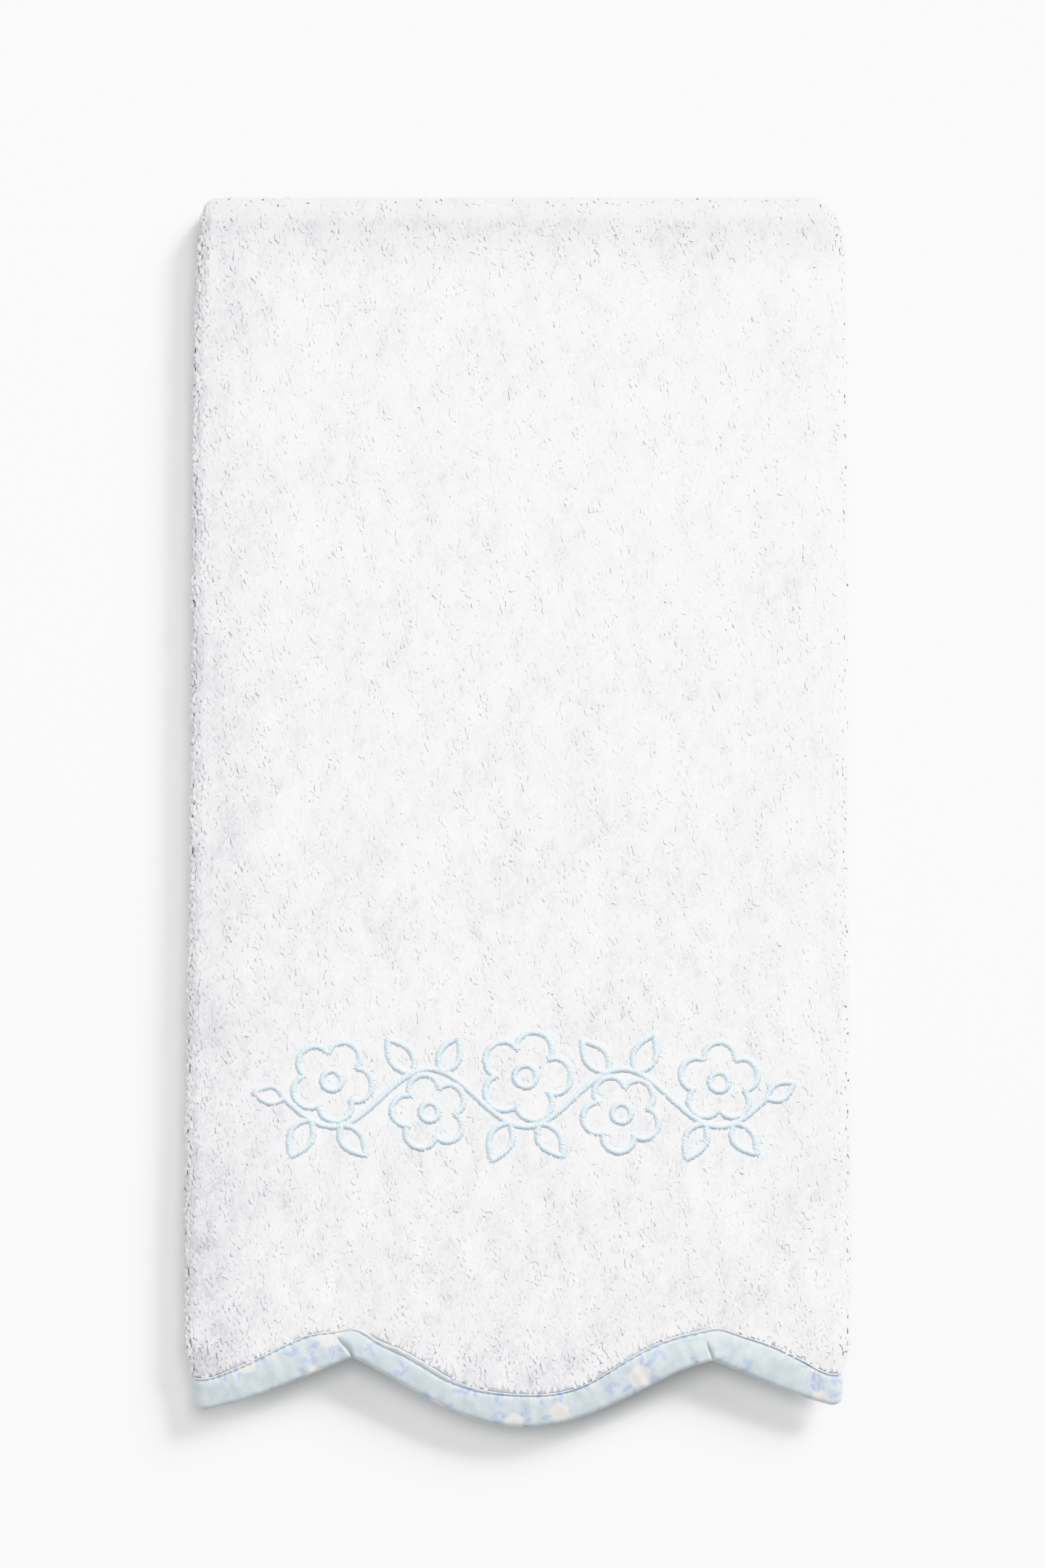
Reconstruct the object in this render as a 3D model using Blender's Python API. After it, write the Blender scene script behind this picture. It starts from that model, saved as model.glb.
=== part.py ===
"""A folded terry hand towel with a scalloped hem that is bound in printed cotton.

The towel is one cloth. Its two sides are turned in behind the middle, and the
double strip that makes is folded in half over the top edge, so the stack has
four layers and the scalloped end lies uppermost, a little longer than the
plain end below it. A bias strip is folded round the scalloped end.

Both pieces are made the way the real ones are: a flat slab of cloth is laid
out with its own rows and columns, and every corner of it is then carried
through the same two folds.

Frame: X across the towel, +Y towards the top fold, +Z up. The origin is under
the middle of the outline, on the surface that the towel lies on.
"""

import math

import bmesh
import bpy

MM = 0.001

# The cloth and how it is stacked
CLOTH = 4.0 * MM            # one layer of terry with the pile of both its faces
GAP = 0.4 * MM              # between one layer and the next
LENGTH = 384.4 * MM         # from the top fold to the lowest scallop
STEP = CLOTH + GAP          # from the middle of one layer to the middle of the next
SIDE_R = STEP / 2           # the side folds, at the middle of the cloth
TOP_R = 1.5 * STEP          # the top fold, at the middle of the outermost layer
HALF_STACK = TOP_R + CLOTH / 2
STACK = 2 * HALF_STACK
FOLD_Y = LENGTH / 2 - HALF_STACK    # where the flat layers end and the top fold begins

# The two ends
BACK_SHORT = 25.0 * MM      # the plain end stops this far above the lowest scallop
BACK_SKEW = 1.5 * MM        # and lies out of square by this at each side
BACK_HEM = 14.0 * MM        # its turned hem, which is flat and has no pile
BACK_HEM_THICK = 2.8 * MM
BACK_HEM_ROUND = 0.08       # the part of the hem over which its two edges round off
DROOP = 2.4 * MM            # how far the overhanging scallops sink
DROOP_LENGTH = 30.0 * MM

# The towel's outline: distance below the top fold, then the left and the right
# side's distance from the middle. It narrows at the bound end and at the top
# corners, of which the right one is the rounder.
OUTLINE = [
    # below, left, right
    (0.0 * MM, 98.4 * MM, 97.2 * MM),
    (6.0 * MM, 99.1 * MM, 100.0 * MM),
    (16.0 * MM, 100.0 * MM, 102.0 * MM),
    (45.0 * MM, 101.1 * MM, 102.8 * MM),
    (120.0 * MM, 101.7 * MM, 103.1 * MM),
    (200.0 * MM, 102.2 * MM, 102.9 * MM),
    (260.0 * MM, 103.2 * MM, 103.4 * MM),
    (330.0 * MM, 104.1 * MM, 104.1 * MM),
    (356.0 * MM, 104.0 * MM, 103.8 * MM),
    (367.0 * MM, 101.9 * MM, 101.9 * MM),
    (400.0 * MM, 101.9 * MM, 101.9 * MM),
]
BACK_IN = 1.1 * MM          # the lower half lies this far inside the upper one
BACK_WAVER = 0.5 * MM       # give or take this
BACK_WAVES = 2.5
FLAP_TOP = 1.6 * MM         # the turned-in sides stop this far from the middle
FLAP_END = 5.0 * MM         # and this far from it at the hems

# The scalloped end, one row for each half scallop that shows, left to right:
# the notch and the crest at its two ends, and how pointed it runs into the notch.
SCALLOPS = [
    # notch x, notch below, crest x, crest below, point
    (-51.2 * MM, 362.3 * MM, -112.0 * MM, 380.2 * MM, 0.53),
    (-51.2 * MM, 362.3 * MM, 2.0 * MM, 384.4 * MM, 0.53),
    (61.0 * MM, 363.4 * MM, 2.0 * MM, 384.4 * MM, 0.20),
    (61.0 * MM, 363.4 * MM, 115.0 * MM, 379.6 * MM, 0.53),
]
CREST_BREADTH = 0.85        # under 1 the crests are broader than the notches
FLAP_INSET = 6.0 * MM       # the scallops of the turned-in sides stop this much short
INSET_LENGTH = 22.0 * MM    # reached over this length of hem past the side fold
TURN_INSET = 2.6 * MM       # of which this much at the side fold itself

# The binding. How wide it shows varies along the hem: it is wide beside the
# notches, where its mitres are, and gathered just past the left one.
BINDING_WIDTH = [
    # s, width
    (-101.0 * MM, 10.0 * MM),
    (-62.0 * MM, 11.6 * MM),
    (-47.5 * MM, 9.0 * MM),
    (-39.0 * MM, 10.0 * MM),
    (-25.0 * MM, 9.3 * MM),
    (0.0 * MM, 10.6 * MM),
    (22.0 * MM, 9.5 * MM),
    (48.0 * MM, 11.6 * MM),
    (62.0 * MM, 10.4 * MM),
    (76.0 * MM, 11.3 * MM),
    (101.0 * MM, 10.0 * MM),
]
BOUND_CLOTH = 1.4 * MM      # the cloth inside it, its pile sheared and pressed
BINDING_WALL = 0.6 * MM     # two turned-in layers of thin cotton
CLEAR = 0.4 * MM            # between the cloth and the binding's two legs
BINDING_R = BOUND_CLOTH / 2 + CLEAR + BINDING_WALL / 2
EDGE_SET = BINDING_R + BINDING_WALL / 2     # the bend's centre from the outer edge
BACK_NARROWER = 0.6 * MM    # the strip reaches this much less far in on the back
EDGE_IN = 1.4 * MM          # the cloth's own edge, from the binding's outer edge
EDGE_THIN = 0.4             # which is thinner than the cloth beside it by this factor
PILE_FROM = 0.6 * MM        # the pile begins this far in from the binding
PILE_FULL = 2.5 * MM        # and is at its full height here
PILE_BANK = 0.94            # of which it has this much at twice PILE_FROM

# Soft unevenness of the upper face: where, how long each way and how deep
HOLLOWS = [
    # x, y, reach across, reach along, depth
    (-42.0 * MM, 5.0 * MM, 20.0 * MM, 60.0 * MM, 0.50 * MM),
    (-78.0 * MM, 140.0 * MM, 24.0 * MM, 30.0 * MM, 0.35 * MM),
    (38.0 * MM, 118.0 * MM, 30.0 * MM, 45.0 * MM, 0.35 * MM),
    (66.0 * MM, -40.0 * MM, 22.0 * MM, 55.0 * MM, 0.40 * MM),
    (-70.0 * MM, -95.0 * MM, 26.0 * MM, 40.0 * MM, 0.30 * MM),
    (10.0 * MM, -92.0 * MM, 60.0 * MM, 26.0 * MM, 0.45 * MM),
    (88.0 * MM, 172.0 * MM, 18.0 * MM, 16.0 * MM, 0.90 * MM),
]
EDGE_DIP = 0.9 * MM         # the upper face sinks this much towards the side folds
EDGE_DIP_REACH = 16.0 * MM
TOP_RISE = 0.5 * MM         # and stands this much higher near the top fold
TOP_RISE_REACH = 45.0 * MM

# How finely each stretch is divided
CLOTH_DIVIDED = {
    "panel_columns": 24,
    "notch_offsets": (-4.0 * MM, 0.0, 4.0 * MM),
    "turn_steps": 4,
    "flap_columns": 12,
}
BINDING_DIVIDED = {
    "panel_columns": 50,
    "notch_offsets": (-1.5 * MM, 0.0, 1.5 * MM),
    "turn_steps": 8,
    "flap_columns": 12,
}
FRONT_ROWS = 16
TOP_STEPS = 8
BACK_ROWS = 10
LEG_STEPS = 3
BEND_STEPS = 4
SLOPE_STEP = 0.8 * MM       # each side of a point, to find the hem's direction
SQUARE_FROM = 14.0 * MM     # the binding turns straight this far before a side fold

# Units of the coordinate across the cloth: the middle panel is -1 to 1, each
# side fold is the next unit, and each turned-in side the one after it.
PANEL_END = 1.0
TURN_END = 2.0


def ease(t):
    """Goes smoothly from 0 to 1 as t does."""
    t = min(max(t, 0.0), 1.0)
    return t * t * (3 - 2 * t)


def mix(a, b, t):
    """Goes evenly from a to b as t goes from 0 to 1."""
    return a + (b - a) * t


def read_table(table, at, column):
    """A table's column at a value of its first column, eased from row to row."""
    if at <= table[0][0]:
        return table[0][column]
    for upper, lower in zip(table, table[1:]):
        if at <= lower[0]:
            t = ease((at - upper[0]) / (lower[0] - upper[0]))
            return mix(upper[column], lower[column], t)
    return table[-1][column]


def panel_half(v, side):
    """Half the width between the side folds at v, which is measured along the
    outermost layer from the middle of the top fold and is negative on the back."""
    below = abs(v) - math.pi * TOP_R / 2 + HALF_STACK
    half = read_table(OUTLINE, below, 1 if side < 0 else 2) - SIDE_R - CLOTH / 2
    back = ease(0.5 - v / (4 * HALF_STACK))
    waver = BACK_WAVER * math.sin(BACK_WAVES * 2 * math.pi * below / LENGTH + side)
    return half - back * (BACK_IN + waver)


def fold_sides(u, v, out):
    """The side folds. It takes a point of the flat cloth, u across in the units
    above, v along, and out from the cloth's middle towards its outer face. It
    gives its place across and its height over the outermost layer's middle."""
    side = -1 if u < 0 else 1
    size = abs(u)
    half = panel_half(v, side)
    if size <= PANEL_END:
        return side * size * half, out
    if size <= TURN_END:
        angle = (size - PANEL_END) * math.pi
        reach = SIDE_R + out
        return side * (half + reach * math.sin(angle)), reach * math.cos(angle) - SIDE_R
    edge = mix(FLAP_TOP, FLAP_END, ease(abs(v) / LENGTH))
    return side * mix(half, edge, size - TURN_END), -2 * SIDE_R - out


def fold_over(v, height):
    """The top fold. It gives y and z for a point at v along and this height."""
    radius = TOP_R + height
    quarter = math.pi * TOP_R / 2
    if v >= quarter:
        return FOLD_Y - (v - quarter), HALF_STACK + radius
    if v <= -quarter:
        return FOLD_Y + (v + quarter), HALF_STACK - radius
    angle = v / TOP_R
    return FOLD_Y + radius * math.cos(angle), HALF_STACK + radius * math.sin(angle)


def settle(x, y, z):
    """The weight of the cloth: the upper face's soft hollows, which fade towards
    the flat face below, and the overhanging scallops, which sink a little."""
    rise = TOP_RISE * ease((y - FOLD_Y + TOP_RISE_REACH) / TOP_RISE_REACH)
    to_side = panel_half(LENGTH / 2 - y, x) + SIDE_R + CLOTH / 2 - abs(x)
    rise -= EDGE_DIP * (1 - ease(to_side / EDGE_DIP_REACH))
    for hollow_x, hollow_y, across, along, depth in HOLLOWS:
        far = ((x - hollow_x) / across) ** 2 + ((y - hollow_y) / along) ** 2
        rise -= depth * math.exp(-far)
    z *= 1 + rise / STACK
    past = -LENGTH / 2 + BACK_SHORT + BACK_SKEW - y
    return x, y, z - DROOP * ease(past / DROOP_LENGTH)


def place(u, v, out):
    """Carries a point of the flat cloth through both folds."""
    x, height = fold_sides(u, v, out)
    y, z = fold_over(v, height)
    return settle(x, y, z)


# The scalloped end is worked out on the flat cloth, in real distances: s across
# from the middle, and below the top fold.
HEM_HALF = OUTLINE[-1][1] - SIDE_R - CLOTH / 2
TURN = math.pi * SIDE_R
FLAP = HEM_HALF - FLAP_END
CLOTH_HALF = HEM_HALF + TURN + FLAP


def s_of_unit(u):
    """The distance across, at the hem, of a unit across."""
    side = -1 if u < 0 else 1
    size = abs(u)
    if size <= PANEL_END:
        return u * HEM_HALF
    if size <= TURN_END:
        return side * (HEM_HALF + (size - PANEL_END) * TURN)
    return side * (HEM_HALF + TURN + (size - TURN_END) * FLAP)


def unit_of_s(s):
    """The unit across of a distance across, at the hem."""
    side = -1 if s < 0 else 1
    size = abs(s)
    if size <= HEM_HALF:
        return s / HEM_HALF
    if size <= HEM_HALF + TURN:
        return side * (PANEL_END + (size - HEM_HALF) / TURN)
    return side * (TURN_END + (size - HEM_HALF - TURN) / FLAP)


def scallop(x, behind):
    """How far below the top fold the scalloped edge lies at x. Behind, on the
    turned-in sides, the notches are round."""
    if x < SCALLOPS[0][0]:
        row = SCALLOPS[0]
    elif x < SCALLOPS[1][2]:
        row = SCALLOPS[1]
    elif x < SCALLOPS[2][0]:
        row = SCALLOPS[2]
    else:
        row = SCALLOPS[3]
    notch_x, notch_below, crest_x, crest_below, point = row
    t = min(abs((x - notch_x) / (crest_x - notch_x)), 1.0) ** CREST_BREADTH
    wave = (1 - math.cos(math.pi * t)) / 2
    if not behind:
        wave = mix(wave, math.sin(math.pi * t / 2), point)
    return mix(notch_below, crest_below, wave)


def hem(s):
    """How far below the top fold the cloth's scalloped edge lies at s."""
    side = -1 if s < 0 else 1
    size = abs(s)
    if size <= HEM_HALF:
        return scallop(s, behind=False)
    if size <= HEM_HALF + TURN:
        turned = (size - HEM_HALF) / TURN
        x = HEM_HALF + SIDE_R * math.sin(turned * math.pi)
        return scallop(side * x, behind=False) - TURN_INSET * ease(turned)
    past = size - HEM_HALF - TURN
    edge = scallop(side * (HEM_HALF - past), behind=past > INSET_LENGTH)
    return edge - mix(TURN_INSET, FLAP_INSET, ease(past / INSET_LENGTH))


def binding_width(s):
    """How far the binding reaches in from the edge at s."""
    return read_table(BINDING_WIDTH, s, 1)


def in_from_hem(s, inward):
    """The point on the flat cloth that lies inward of the edge at s, square to
    it, or straight up from it at the side folds and behind: its unit across, and v."""
    rise = hem(s + SLOPE_STEP) - hem(s - SLOPE_STEP)
    rise *= ease((HEM_HALF - abs(s)) / SQUARE_FROM)
    run = math.hypot(2 * SLOPE_STEP, rise)
    s_in = s + inward * rise / run
    below = hem(s) - inward * 2 * SLOPE_STEP / run
    return unit_of_s(s_in), below - HALF_STACK + math.pi * TOP_R / 2


def slab(columns, rows):
    """A flat slab of cloth as a bmesh: x counts the columns, y the rows, and z is
    -1 on one face and 1 on the other."""
    bm = bmesh.new()
    bmesh.ops.create_grid(bm, x_segments=columns - 1, y_segments=rows - 1, size=1.0)
    for vertex in bm.verts:
        vertex.co.x = round((vertex.co.x + 1) / 2 * (columns - 1))
        vertex.co.y = round((vertex.co.y + 1) / 2 * (rows - 1))
        vertex.co.z = -1
    faces = bm.faces[:]
    made = bmesh.ops.extrude_face_region(bm, geom=faces, use_keep_orig=True)
    for item in made["geom"]:
        if isinstance(item, bmesh.types.BMVert):
            item.co.z = 1
    bmesh.ops.recalc_face_normals(bm, faces=bm.faces)
    return bm


def divide_across(panel_columns, notch_offsets, turn_steps, flap_columns):
    """The units across at which a piece is divided, from edge to edge, with
    columns of their own at the notches."""
    notches = {unit_of_s(row[0] + shift) for row in SCALLOPS for shift in notch_offsets}
    room = 0.5 * (notch_offsets[-1] - notch_offsets[0]) / HEM_HALF + 1 / panel_columns
    panel = [mix(-1.0, 1.0, i / panel_columns) for i in range(panel_columns + 1)]
    centres = [unit_of_s(row[0]) for row in SCALLOPS]
    panel = [u for u in panel if all(abs(u - centre) > room for centre in centres)]
    side = [PANEL_END + i / turn_steps for i in range(1, turn_steps + 1)]
    side += [TURN_END + i / flap_columns for i in range(1, flap_columns + 1)]
    return sorted([-u for u in side] + panel + sorted(notches) + side)


def cloth_rows():
    """The cloth's rows from the scalloped end to the plain one, each as the name
    of its stretch, how far along that it lies, and half the cloth's thickness."""
    half = CLOTH / 2
    bound = BOUND_CLOTH / 2
    plain = BACK_HEM_THICK / 2
    rows = [("edge", EDGE_IN, bound * EDGE_THIN), ("edge", EDGE_IN + MM, bound)]
    rows += [("edge", BINDING_WIDTH[0][1] / 2, bound)]
    rows += [("bound", PILE_FROM, bound), ("bound", 2 * PILE_FROM, half * PILE_BANK)]
    rows += [("front", i / FRONT_ROWS, half) for i in range(FRONT_ROWS)]
    rows += [("top", i / TOP_STEPS, half) for i in range(TOP_STEPS)]
    rows += [("back", i / BACK_ROWS, half) for i in range(BACK_ROWS + 1)]
    rows += [("back hem", BACK_HEM_ROUND, plain), ("back hem", 1 - BACK_HEM_ROUND, plain)]
    return rows + [("back hem", 1.0, plain * EDGE_THIN)]


def cloth_point(u, row, face):
    """Where a corner of the cloth's slab ends up."""
    stretch, along, half = row
    quarter = math.pi * TOP_R / 2
    s = s_of_unit(u)
    plain_end = LENGTH - BACK_SHORT - HALF_STACK + quarter + BACK_SKEW * s / CLOTH_HALF
    pile_end_u, pile_end_v = in_from_hem(s, binding_width(s) + PILE_FULL)
    if stretch == "edge":
        u, v = in_from_hem(s, along)
    elif stretch == "bound":
        u, v = in_from_hem(s, binding_width(s) + along)
    elif stretch == "front":
        u = mix(pile_end_u, u, along)
        v = mix(pile_end_v, quarter, along)
    elif stretch == "top":
        v = mix(quarter, -quarter, along)
    elif stretch == "back":
        v = mix(-quarter, BACK_HEM - plain_end, along)
    else:
        v = mix(BACK_HEM - plain_end, -plain_end, along)
    return place(u, v, face * half)


def binding_rows():
    """The strip's rows from its back edge, round the hem, to its front edge."""
    rows = [("back", 1.0), ("back", 0.5)]
    rows += [("bend", i / BEND_STEPS) for i in range(BEND_STEPS + 1)]
    return rows + [("front", i / LEG_STEPS) for i in range(1, LEG_STEPS + 1)]


def binding_point(u, row, face):
    """Where a corner of the binding's slab ends up."""
    stretch, along = row
    s = s_of_unit(u)
    reach = BINDING_R + face * BINDING_WALL / 2
    if stretch == "front":
        inward, out = mix(EDGE_SET, binding_width(s), along), reach
    elif stretch == "bend":
        inward = EDGE_SET - reach * math.sin(along * math.pi)
        out = -reach * math.cos(along * math.pi)
    else:
        inward = mix(EDGE_SET, binding_width(s) - BACK_NARROWER, along)
        out = -reach
    u, v = in_from_hem(s, inward)
    return place(u, v, out)


def cloth_object(name, columns, rows, point, colour, roughness, collection):
    """Makes one piece: a slab with these columns and rows, each corner placed by
    the function point, in a material of its own."""
    bm = slab(len(columns), len(rows))
    for vertex in bm.verts:
        column = columns[round(vertex.co.x)]
        row = rows[round(vertex.co.y)]
        vertex.co = point(column, row, vertex.co.z)
    mesh = bpy.data.meshes.new(name)
    bm.to_mesh(mesh)
    bm.free()
    mesh.shade_smooth()
    mesh.set_sharp_from_angle(angle=math.radians(60))

    material = bpy.data.materials.new(name)
    material.use_nodes = True
    shader = material.node_tree.nodes["Principled BSDF"]
    shader.inputs["Base Color"].default_value = (*colour, 1.0)
    shader.inputs["Roughness"].default_value = roughness
    shader.inputs["Metallic"].default_value = 0.0
    mesh.materials.append(material)

    collection.objects.link(bpy.data.objects.new(name, mesh))


for leftover in list(bpy.data.objects):
    bpy.data.objects.remove(leftover)

towel = bpy.data.collections.new("hand_towel")
bpy.context.scene.collection.children.link(towel)
cloth_object(
    "towel_cloth", divide_across(**CLOTH_DIVIDED), cloth_rows(), cloth_point,
    colour=(0.88, 0.88, 0.89), roughness=0.95, collection=towel,
)
cloth_object(
    "hem_binding", divide_across(**BINDING_DIVIDED), binding_rows(), binding_point,
    colour=(0.66, 0.76, 0.80), roughness=0.8, collection=towel,
)
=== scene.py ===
"""A folded hand towel in white terry, with a scalloped hem bound in printed cotton
and a stitched border above it, lying flat and seen from straight above."""

import math

import bmesh
import bpy
import numpy as np
from mathutils.kdtree import KDTree
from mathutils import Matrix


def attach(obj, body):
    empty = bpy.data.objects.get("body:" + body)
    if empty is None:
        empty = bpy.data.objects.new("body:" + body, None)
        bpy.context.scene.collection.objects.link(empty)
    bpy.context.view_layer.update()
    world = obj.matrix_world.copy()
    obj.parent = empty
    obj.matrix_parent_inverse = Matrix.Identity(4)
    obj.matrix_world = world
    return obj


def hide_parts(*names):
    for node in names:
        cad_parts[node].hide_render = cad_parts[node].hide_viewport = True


MM = 0.001

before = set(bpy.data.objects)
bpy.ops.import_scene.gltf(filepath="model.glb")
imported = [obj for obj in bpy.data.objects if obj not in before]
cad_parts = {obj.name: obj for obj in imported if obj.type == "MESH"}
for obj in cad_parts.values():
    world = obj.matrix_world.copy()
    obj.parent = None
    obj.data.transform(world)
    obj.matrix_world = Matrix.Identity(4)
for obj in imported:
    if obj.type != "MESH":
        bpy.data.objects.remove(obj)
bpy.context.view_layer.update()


# ---------------------------------------------------------------- the camera
# A long lens straight above the towel, with the top fold at the top of the
# picture. The towel lies a little below and to the left of the middle of it.

FRAME_HEIGHT = 489.9 * MM       # what the picture's height takes in at the towel
FACE_HEIGHT = 15.0 * MM         # of the towel's upper face above the table
CAMERA_ABOVE = 2.4
SENSOR = 36.0                   # mm
FRAME_MIDDLE = (1.45 * MM, 8.94 * MM)


def add_object(name, data):
    """A new object in the scene."""
    added = bpy.data.objects.new(name, data)
    bpy.context.scene.collection.objects.link(added)
    return added


lens = bpy.data.cameras.new("camera")
lens.sensor_fit = "VERTICAL"
lens.sensor_height = SENSOR
lens.lens = SENSOR * (CAMERA_ABOVE - FACE_HEIGHT) / FRAME_HEIGHT
lens.clip_end = 20.0
camera = add_object("camera", lens)
camera.location = (*FRAME_MIDDLE, CAMERA_ABOVE)
bpy.context.scene.camera = camera


# ------------------------------------------------------ the light and the table
# A white table in a bright, even room, with a broad soft light at the upper right,
# a small one overhead and a weak one at the left. The table is lit to just past
# white, so only the towel's shadow shows.

TABLE_SIZE = 6.0
TABLE_WHITE = (0.93, 0.93, 0.925, 1.0)
LAMPS = [
    # name, watts, size, x, y, z (metres)
    ("soft_light", 70.0, 0.95, 1.14, 1.24, 1.22),
    ("top_light", 2.1, 0.35, -0.02, 0.03, 0.75),
    ("left_fill", 6.8, 0.9, -1.20, -0.10, 0.45),
]
ROOM_WHITE = (1.0, 1.0, 1.0, 1.0)
ROOM_ASIDE = 0.68           # how bright the room is, level with the table
ROOM_ABOVE = 0.27           # and overhead
ROOM_DIM = 0.7              # from this far up it is as dim as overhead


def feed(tree, socket, value):
    """Joins another node's output to the socket, or sets it to a value."""
    if isinstance(value, bpy.types.NodeSocket):
        tree.links.new(value, socket)
    else:
        socket.default_value = value


def add_node(tree, kind, inputs, **settings):
    """A new node with these settings, and with these inputs by name or number."""
    node = tree.nodes.new("ShaderNode" + kind)
    for name, setting in settings.items():
        setattr(node, name, setting)
    for name, value in inputs.items():
        feed(tree, node.inputs[name], value)
    return node


def new_material(name, roughness, gloss=0.5, sheen=0.0, sheen_spread=0.5):
    """A new material, its nodes and its shader."""
    material = bpy.data.materials.new(name)
    material.use_nodes = True
    shader = material.node_tree.nodes["Principled BSDF"]
    shader.inputs["Roughness"].default_value = roughness
    shader.inputs["Specular IOR Level"].default_value = gloss
    shader.inputs["Sheen Weight"].default_value = sheen
    shader.inputs["Sheen Roughness"].default_value = sheen_spread
    return material, material.node_tree, shader


white_board, board_nodes, shader = new_material("white_board", roughness=0.9, gloss=0.0)
feed(board_nodes, shader.inputs["Base Color"], TABLE_WHITE)
table_mesh = bpy.data.meshes.new("table")
bm = bmesh.new()
bmesh.ops.create_grid(bm, x_segments=1, y_segments=1, size=TABLE_SIZE / 2)
bm.to_mesh(table_mesh)
bm.free()
table_mesh.materials.append(white_board)
table = add_object("table", table_mesh)

for name, watts, size, x, y, z in LAMPS:
    lamp = bpy.data.lights.new(name, "AREA")
    lamp.shape = "SQUARE"
    lamp.size = size
    lamp.energy = watts
    light = add_object(name, lamp)
    light.location = (x, y, z)
    light.rotation_mode = "QUATERNION"
    light.rotation_quaternion = light.location.to_track_quat("Z", "Y")
    light.visible_camera = False

room = bpy.data.worlds.new("room")
room.use_nodes = True
direction = add_node(room.node_tree, "TexCoord", {})
split = add_node(room.node_tree, "SeparateXYZ", {"Vector": direction.outputs["Generated"]})
dimmed = add_node(room.node_tree, "MapRange", {
    "Value": split.outputs["Z"], "From Max": ROOM_DIM, "To Min": ROOM_ASIDE, "To Max": ROOM_ABOVE})
background = room.node_tree.nodes["Background"]
feed(room.node_tree, background.inputs["Strength"], dimmed.outputs["Result"])
feed(room.node_tree, background.inputs["Color"], ROOM_WHITE)
bpy.context.scene.world = room

# The camera holds back its brightest tones. Each row: the light, and how bright
# it comes out.
TONES = ((0.75, 0.75), (0.85, 0.829), (0.95, 0.878), (1.05, 0.908), (1.18, 0.934), (1.35, 0.951))
TONE_WHITE = 2.0
BRIGHTEST = 0.956
view = bpy.context.scene.view_settings
view.view_transform = "Standard"
view.use_curve_mapping = True
view.curve_mapping.white_level = (TONE_WHITE,) * 3
tone_curve = view.curve_mapping.curves[3]
tone_curve.points[1].location = (1.0, BRIGHTEST)
for light, tone in TONES:
    tone_curve.points.new(light / TONE_WHITE, tone)
view.curve_mapping.update()


# ------------------------------------------------------------ the terry cloth
# One length of white cotton terry: the flat woven ground that carries the loops.
# Its two sides are turned in behind, and it is then folded in half over the top.
# The scalloped end and the plain, turned end are hems of this same cloth.

CLOTH = 4.0 * MM            # with the pile of both faces
GAP = 0.4 * MM
LENGTH = 384.4 * MM         # from the top fold to the lowest scallop
STEP = CLOTH + GAP
SIDE_R = STEP / 2           # the side folds, at the middle of the cloth
TOP_R = 1.5 * STEP          # the top fold, at the middle of the outermost layer
QUARTER = math.pi * TOP_R / 2
HALF_STACK = TOP_R + CLOTH / 2
STACK = 2 * HALF_STACK
FOLD_Y = LENGTH / 2 - HALF_STACK
BACK_SHORT = 25.0 * MM      # the plain end stops this far above the lowest scallop
BACK_SKEW = 1.5 * MM        # and lies out of square by this at each side
BACK_HEM = 14.0 * MM        # its turned hem
BACK_HEM_THICK = 2.8 * MM
BACK_IN = 1.1 * MM          # the lower half lies this far inside the upper one
BACK_WAVER = 0.5 * MM       # give or take this
BACK_WAVES = 2.5
FLAP_TOP = 1.6 * MM         # the turned-in sides stop this far from the middle
FLAP_END = 5.0 * MM         # and this far from it at the hems
DROOP = 2.4 * MM            # how far the overhanging scallops sink
DROOP_LENGTH = 30.0 * MM

# The outline: distance below the top fold, then how far the left and the right
# side lie from the middle.
OUTLINE = np.array([
    (0.0, 98.4, 97.2),
    (6.0, 99.1, 100.0),
    (16.0, 100.0, 102.0),
    (45.0, 101.1, 102.8),
    (120.0, 101.7, 103.1),
    (200.0, 102.2, 102.9),
    (260.0, 103.2, 103.4),
    (330.0, 104.1, 104.1),
    (356.0, 104.0, 103.8),
    (367.0, 101.9, 101.9),
    (400.0, 101.9, 101.9),
]) * MM

# Soft unevenness of the upper face: x, y, reach across, reach along, depth
HOLLOWS = np.array([
    (-42.0, 5.0, 20.0, 60.0, 0.50),
    (-78.0, 140.0, 24.0, 30.0, 0.35),
    (38.0, 118.0, 30.0, 45.0, 0.35),
    (66.0, -40.0, 22.0, 55.0, 0.40),
    (-70.0, -95.0, 26.0, 40.0, 0.30),
    (10.0, -92.0, 60.0, 26.0, 0.45),
    (88.0, 172.0, 18.0, 16.0, 0.90),
]) * MM
EDGE_DIP = 0.9 * MM         # the upper face sinks this much towards the side folds
EDGE_DIP_REACH = 16.0 * MM
TOP_RISE = 0.5 * MM         # and stands this much higher near the top fold
TOP_RISE_REACH = 45.0 * MM

# The scalloped edge, one row for each half scallop that shows: the notch and the
# crest at its ends, and how pointed it runs into the notch.
SCALLOPS = np.array([
    (-51.2 * MM, 362.3 * MM, -112.0 * MM, 380.2 * MM, 0.53),
    (-51.2 * MM, 362.3 * MM, 2.0 * MM, 384.4 * MM, 0.53),
    (61.0 * MM, 363.4 * MM, 2.0 * MM, 384.4 * MM, 0.20),
    (61.0 * MM, 363.4 * MM, 115.0 * MM, 379.6 * MM, 0.53),
])
CREST_BREADTH = 0.85        # under 1 the crests are broader than the notches
FLAP_INSET = 6.0 * MM       # the scallops of the turned-in sides stop this much short
INSET_LENGTH = 22.0 * MM    # reached over this length of hem past the side fold
TURN_INSET = 2.6 * MM       # of which this much at the side fold itself
SLOPE_STEP = 0.8 * MM       # the hem's slope is measured over twice this
SQUARE_FROM = 14.0 * MM     # this near the side folds, rows no longer lie square to it

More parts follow.
